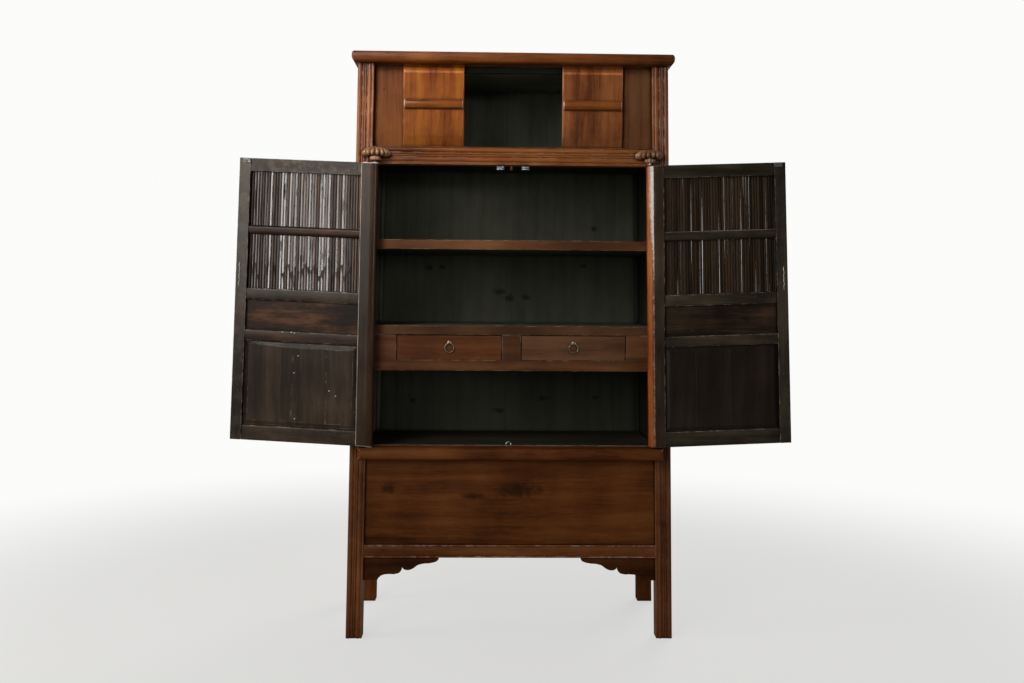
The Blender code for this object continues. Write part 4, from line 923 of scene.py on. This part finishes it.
# %% [markdown]
# A half-round batten is pegged across each sliding door as its pull. It is a cylinder laid on its
# side, cut in half along its length by a bisect, with the sawn ends eased over by a small bevel.

# %% Battens
BATTEN_X, BATTEN_Y, BATTEN_Z = 0.24, 0.0077, 1.6285
BATTEN_LONG, BATTEN_HIGH, BATTEN_DEEP = 0.179, 0.029, 0.014
for side, sign in SIGN.items():
    batten = rod(
        48, 0.5, 1.0, rotation=(0, math.pi / 2, 0), location=(sign * BATTEN_X, BATTEN_Y, BATTEN_Z),
        stretch=(BATTEN_HIGH, 2 * BATTEN_DEEP, BATTEN_LONG),
    )
    cut(batten, (0, BATTEN_Y, 0), (0, 1, 0), use_fill=True, clear_outer=True)
    round_edges(batten, 0.0058, 4, lambda a, b: abs(a.x - b.x) < 0.001
                and min(a.y, b.y) < BATTEN_Y - 0.0001
                and abs(abs(a.x - sign * BATTEN_X) - BATTEN_LONG / 2) < 0.001)
    batten = settle(batten, "pull_batten_" + side, woods["batten"])
    # The end faces take the pale end stain: end grain with a painted highlight.
    batten.data.materials.append(woods["batten_end"])
    for face in batten.data.polygons:
        face.material_index = int(abs(face.normal.x) > 0.35)
    batten.data.transform(Matrix.Translation(SHIFT))
    soften(batten, 40)
    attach(batten, "sliding_door_" + side)
    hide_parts("sliding_batten_" + side)
    tell(batten)


# %% [markdown]
# Wire fittings are bent from round stock: a round profile is spun about the middle of the bend. The
# ring, the eye it hangs from and the eyes on the doors all come from that one move. A small turned
# rose sits behind the drawer's eye.

# %% Bending wire
def bend_wire(centre, radius, wire, axis, start, angle, steps=24, sides=10):
    """A wire spun about an axis, from a start direction, open or closed."""
    closed = angle >= 359
    axis, start = Vector(axis), Vector(start).normalized()
    bent = rough_out(
        bpy.ops.mesh.primitive_circle_add, vertices=sides, radius=wire,
        fill_type="NOTHING" if closed else "NGON",
    )
    facing = Matrix((start, axis, start.cross(axis))).transposed().to_4x4()
    bent.data.transform(Matrix.Translation(Vector(centre) + start * radius) @ facing)
    pick(bent, "VERT", lambda *ends: True)
    bpy.ops.mesh.spin(
        steps=steps, angle=math.radians(angle), center=tuple(centre), axis=tuple(axis),
        use_auto_merge=closed,
    )
    return bent


DRAWER_FACE, PULL_X, PULL_Z = 0.0117, 0.1895, 0.90835
LOOP_R, LOOP_WIRE, RING_WIRE, ROSE_R, ROSE_THICK = 0.0042, 0.0011, 0.0016, 0.0062, 0.0012
LYING = (math.pi / 2, 0, 0)
for side, sign in SIGN.items():
    x = sign * PULL_X
    centre = (x, DRAWER_FACE - LOOP_R - LOOP_WIRE, PULL_Z)
    loop = bend_wire(centre, LOOP_R, LOOP_WIRE, (1, 0, 0), (0, -1, 0), 360)
    loop = settle(loop, "eye_loop_" + side, brass)
    behind = (x, DRAWER_FACE - ROSE_THICK / 2, PULL_Z)
    rose = rod(28, ROSE_R, ROSE_THICK, location=behind, rotation=LYING)
    sink(rose, (0, -1, 0), (0.0022, 0.0008), (0.0016, 0.0004))
    rose = settle(rose, "rose_" + side, brass)
    eye = gather([loop, rose], "drawer_eye_wire_" + side)
    low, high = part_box(f"drawer_{side}_ring")
    middle = (low + high) / 2
    radius = (high.x - low.x) / 2 - 0.0015
    ring = bend_wire(middle, radius, RING_WIRE, (0, 1, 0), (0, 0, 1), 360, 44, 12)
    ring = settle(ring, "drawer_pull_ring_" + side, brass)
    squeeze(ring, (1.0, 0.86, 1.0), tuple(middle), lambda end: end.z > middle.z + radius * 0.93)
    clear_bench()
    eye.data.transform(Matrix.Translation(SHIFT))
    for piece, body, node in ((eye, "drawer_", "eye"), (ring, "ring_", "ring")):
        soften(piece, 50)
        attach(piece, body + side)
        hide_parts(f"drawer_{side}_{node}")
    tell(ring)


# %% [markdown]
# Each meeting stile carries an eye for a padlock: a loop outside, and inside its two legs, spread up
# and down and hammered flat. The legs are what we see on the open doors, so they get a slight bend
# of their own.

# %% Door eyes
EYE_X, EYE_Z, EYE_R, EYE_WIRE = 0.0164, 1.096, 0.0075, 0.0018
SHANK_R, SHANK_LONG, SHANK_Y = 0.0023, 0.0316, -0.0239
LEG_R, LEG_LONG, LEG_Y, LEG_START = 0.0013, 0.037, -0.008, 0.0175
LEG_TIP = LEG_LONG / 2
LEG_BENDS = ((-0.01, 0.0012), (0.0, -0.0006), (0.01, 0.0016), (LEG_TIP, 0.0002))
for side, sign in SIGN.items():
    x = sign * EYE_X
    centre = (x, DOOR_FACE - EYE_R - EYE_WIRE, EYE_Z)
    loop = bend_wire(centre, EYE_R, EYE_WIRE, (1, 0, 0), (0, 1, 0), 360)
    stock = [settle(loop, "lock_loop_" + side, wire_iron)]
    shank = rod(12, SHANK_R, SHANK_LONG, location=(x, SHANK_Y, EYE_Z), rotation=LYING)
    sink(shank, (0, 1, 0), (0.0008, 0.0004))
    stock.append(settle(shank, "shank_" + side, wire_iron))
    for way in (1, -1):
        leg = rod(10, LEG_R, LEG_LONG)
        for height, sideways in LEG_BENDS[:-1]:
            cut(leg, (0, 0, height))
        for height, sideways in LEG_BENDS:
            pick(leg, "VERT", lambda end: abs(end.z - height) < 0.0004)
            bpy.ops.transform.translate(value=(sideways * way, 0, 0))
        squeeze(leg, (0.5, 0.6, 1.0), (0, 0, LEG_TIP), lambda end: end.z > 0.017)
        clear_bench()
        leg.data.transform(
            Matrix.Translation((x, LEG_Y, EYE_Z)) @ Matrix.Rotation(0 if way > 0 else math.pi, 4, "Y")
            @ Matrix.Translation((0, 0, LEG_START))
        )
        stock.append(settle(leg, f"leg_{side}_{way}", wire_iron))
    eye = gather(stock, "lock_eye_" + side)
    soften(eye, 60)
    hang(eye, side)
    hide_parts(f"door_{side}_eye")
    tell(eye)


# %% [markdown]
# Two small magnet catches under the waist rail hold the doors shut, and each door carries a steel
# plate for them. A catch is a block with its face sunk and two steel strips in the hollow. A plate is
# a thin blank with eased corners and two slotted screws.

# %% Screws, plates and catches
def screw_head(spot, radius, name):
    """A slotted head that looks along y."""
    slot = radius * 0.14
    head = rod(20, radius, 0.0008)
    sink(head, (0, 0, 1), (radius * 0.3, 0.0002))
    bpy.ops.mesh.bisect(plane_co=(0, slot, 0), plane_no=(0, 1, 0))
    pick_facing(head, 0, 0, 1)
    bpy.ops.mesh.bisect(plane_co=(0, -slot, 0), plane_no=(0, 1, 0))
    pick(head, "FACE", lambda *ends: normal(ends).z > 0.9
         and all(abs(end.y) < radius * 0.2 for end in ends))
    bpy.ops.mesh.extrude_region_move(TRANSFORM_OT_translate={"value": (0, 0, -0.0005)})
    clear_bench()
    turn = Matrix.Rotation(-math.pi / 2, 4, "X") @ Matrix.Rotation(0.5, 4, "Z")
    head.data.transform(Matrix.Translation(spot) @ turn)
    return settle(head, name, dull_steel)


PLATE_LONG, PLATE_THICK, PLATE_HIGH, PLATE_FROM = 0.022, 0.0012, 0.0125, 0.0149
PLATE_Z = DOOR_TOP - 0.001 - PLATE_HIGH / 2
for side, sign in SIGN.items():
    plate_x = sign * (PLATE_FROM + PLATE_LONG / 2)
    plate = block((PLATE_LONG, PLATE_THICK, PLATE_HIGH), (plate_x, DOOR_BACK + PLATE_THICK / 2, PLATE_Z))
    round_edges(plate, 0.0022, 4, lambda a, b: abs(a.y - b.y) > 0.001)
    plate = settle(plate, "plate_blank_" + side, dull_steel)
    heads = [
        screw_head((plate_x + run, DOOR_BACK + PLATE_THICK, PLATE_Z), 0.0021, "plate_screw_" + side)
        for run in (-0.006, 0.006)
    ]
    plate = gather([plate] + heads, "strike_plate_" + side)
    soften(plate, 30)
    hang(plate, side)
    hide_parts(f"door_{side}_strike_plate")
    tell(plate)

    low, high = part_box("magnet_catch_" + side)
    middle, size = (low + high) / 2, high - low
    face = low.y + 0.0006
    catch = block((size.x, high.y - face, size.z), (middle.x, (face + high.y) / 2, middle.z))
    sink(catch, (0, -1, 0), (0.0012, 0.0), (0.0003, -0.0016))
    round_edges(catch, 0.001, 3, lambda a, b: abs(a.y - b.y) > 0.01)
    made = [settle(catch, "catch_body_" + side, catch_case)]
    for share in (0.45, 0.8):
        strip = block((size.x - 0.005, 0.008, 0.0022), (middle.x, low.y + 0.004, high.z - size.z * share))
        round_edges(strip, 0.0005, 2, lambda a, b: max(a.y, b.y) < low.y + 0.001)
        made.append(settle(strip, "pole_strip_" + side, bright_steel))
    catch = gather(made, "door_catch_" + side)
    soften(catch, 30)
    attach(catch, "cupboard")
    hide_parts("magnet_catch_" + side)
    tell(catch)


# %% [markdown]
# Three small things were added over the years: a wooden stop peg between the catches, a wire staple
# in the floor behind the sill, and the nails in the left door's boards, rubbed bright. The peg is a
# cylinder with its foot drawn in, the staple is half a turn of wire with its legs pulled down, and a
# nail head is a squashed ball.

# %% Peg, staple and nails
STAPLE_X, STAPLE_Y, STAPLE_Z, STAPLE_R, STAPLE_WIRE = -0.006, 0.042, 0.594, 0.008, 0.0013
NAIL_R, FIELD_Y, SMALL_Y, FIELD_TOP = 0.0024, -0.0152, -0.0091, 0.9
NAILS = (
    (0.204, 0.858), (0.2, 0.667), (0.303, 0.757), (0.323, 0.742), (0.193, 0.806), (0.155, 0.927),
    (0.182, 0.928), (0.192, 0.926),
)
peg = rod(14, 0.0042, 0.014, location=(-0.004, 0.01, 1.4395))
sink(peg, (0, 0, -1), (0.0012, 0.001))
# The peg takes the spandrels' darker red: painted shade under the waist rail.
peg = settle(peg, "stop_peg", woods["spandrel"])
middle = (STAPLE_X, STAPLE_Y, STAPLE_Z)
staple = bend_wire(middle, STAPLE_R, STAPLE_WIRE, (0, 1, 0), (1, 0, 0), 180, 16, 8)
pick(staple, "FACE", lambda *ends: all(end.z < STAPLE_Z + 0.0002 for end in ends))
bpy.ops.mesh.extrude_region_move(TRANSFORM_OT_translate={"value": (0, 0, -0.0042)})
staple = settle(staple, "floor_staple", bright_steel)
for piece, slot in ((peg, "orange_wood"), (staple, "catch_steel")):
    soften(piece, 40)
    piece.data.transform(Matrix.Translation(SHIFT))
    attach(piece, "cupboard")
heads = []
for x, z in NAILS:
    head = rough_out(
        bpy.ops.mesh.primitive_uv_sphere_add, (1.0, 0.35, 0.85), segments=10, ring_count=6, radius=NAIL_R
    )
    squeeze(head, (0.7, 1.0, 0.7), (0, 0, 0), lambda end: end.y > 0.0004)
    clear_bench()
    head.location = (-x, FIELD_Y if z < FIELD_TOP else SMALL_Y, z)
    heads.append(settle(head, f"nail_{len(heads)}", bright_steel))
nails = gather(heads, "door_nails")
soften(nails, 50)
hang(nails, "left")
print("added", peg.name, staple.name, nails.name)


# %% [markdown]
# The picture is lit as a quiet room: a tall soft window ahead and to the left, weaker ones at the left
# side, high up and behind, and dim light from everywhere else, so the right-hand door stays nearly
# black. Two faint narrow beams from the right reach the inside where the tall window can't. The floor
# is pale, keeps the cupboard's shadow and fades into a plain background a few steps away.

# %% Floor, windows and room
DAYLIGHT = (1.0, 0.98, 0.95)
BACKDROP = (0.97, 0.97, 0.96)


def soft_window(name, spot, aim, wide, high, power, spread=180):
    lamp = bpy.data.lights.new(name, "AREA")
    lamp.shape = "RECTANGLE"
    lamp.size, lamp.size_y = wide, high
    lamp.energy = power
    lamp.color = DAYLIGHT
    lamp.spread = math.radians(spread)
    holder = bpy.data.objects.new(name, lamp)
    bpy.context.scene.collection.objects.link(holder)
    holder.location = spot
    holder.rotation_euler = (Vector(aim) - Vector(spot)).to_track_quat("-Z", "Y").to_euler()


soft_window("window_ahead", (-2.2, -4.1, 2.35), (0, -0.2, 1.3), 2.5, 2.7, 64)
soft_window("window_left", (-3.6, -0.9, 2.1), (0, -0.1, 1.3), 1.6, 2.0, 26)
soft_window("window_high", (-1.4, -2.0, 3.0), (-0.42, 0, 1.72), 1.2, 1.0, 4.2, 32)
soft_window("window_right", (2.5, -3.0, 1.4), (-0.38, 0.1, 1.12), 0.6, 1.4, 0.3, 14)
soft_window("window_bay", (0.9, -3.9, 1.75), (-0.15, 0.15, 1.58), 0.3, 0.3, 0.036, 8)
soft_window("window_behind", (2.2, 3.6, 2.4), (0, 0.2, 1.0), 1.8, 1.8, 50)

clear_bench()
bpy.ops.mesh.primitive_circle_add(vertices=96, radius=9.0, fill_type="NGON", location=(0, 0, -0.0005))
floor = bpy.context.object
floor.name = "floor"
ground = Finish("pale_floor")
spot = ground.node("ShaderNodeTexCoord", output="Object")
away = ground.vector("LENGTH", spot).step(1.3, 3.4)
seen = ground.node("ShaderNodeLightPath", output="Is Camera Ray")
plain = ground.node("ShaderNodeEmission", {}, {"Color": BACKDROP, "Strength": 1.0})
pale = ground.blend(ground.noise(spot, 300.0, 3.0), (0.8, 0.79, 0.76), (0.86, 0.85, 0.82))
ground.set(
    Base_Color=ground.blend(seen, (0.34, 0.32, 0.29), pale), Roughness=0.9, Specular_IOR_Level=0.2
)
matt = Wire(ground, ground.shader.outputs[0])
mixed = ground.node("ShaderNodeMixShader", {}, {0: (0.6 + 0.4 * away) * seen, 1: matt, 2: plain})
ground.put(ground.tree.nodes["Material Output"].inputs["Surface"], mixed)
floor.data.materials.append(ground.material)

world = bpy.data.worlds.new("room")
bpy.context.scene.world = world
world.use_nodes = True
room = Finish.__new__(Finish)
room.tree = world.node_tree
facing = room.node("ShaderNodeTexCoord", output="Generated")
depth = room.node("ShaderNodeSeparateXYZ", {}, {"Vector": facing}, "Y")
seen = room.node("ShaderNodeLightPath", output="Is Camera Ray")
glow = room.blend(depth.step(-0.6, 0.7), (0.112, 0.112, 0.107), (0.26, 0.26, 0.25))
room.put(world.node_tree.nodes["Background"].inputs["Color"], room.blend(seen, glow, BACKDROP))
bpy.context.scene.view_settings.view_transform = "Standard"


# %% Finish
clear_bench()
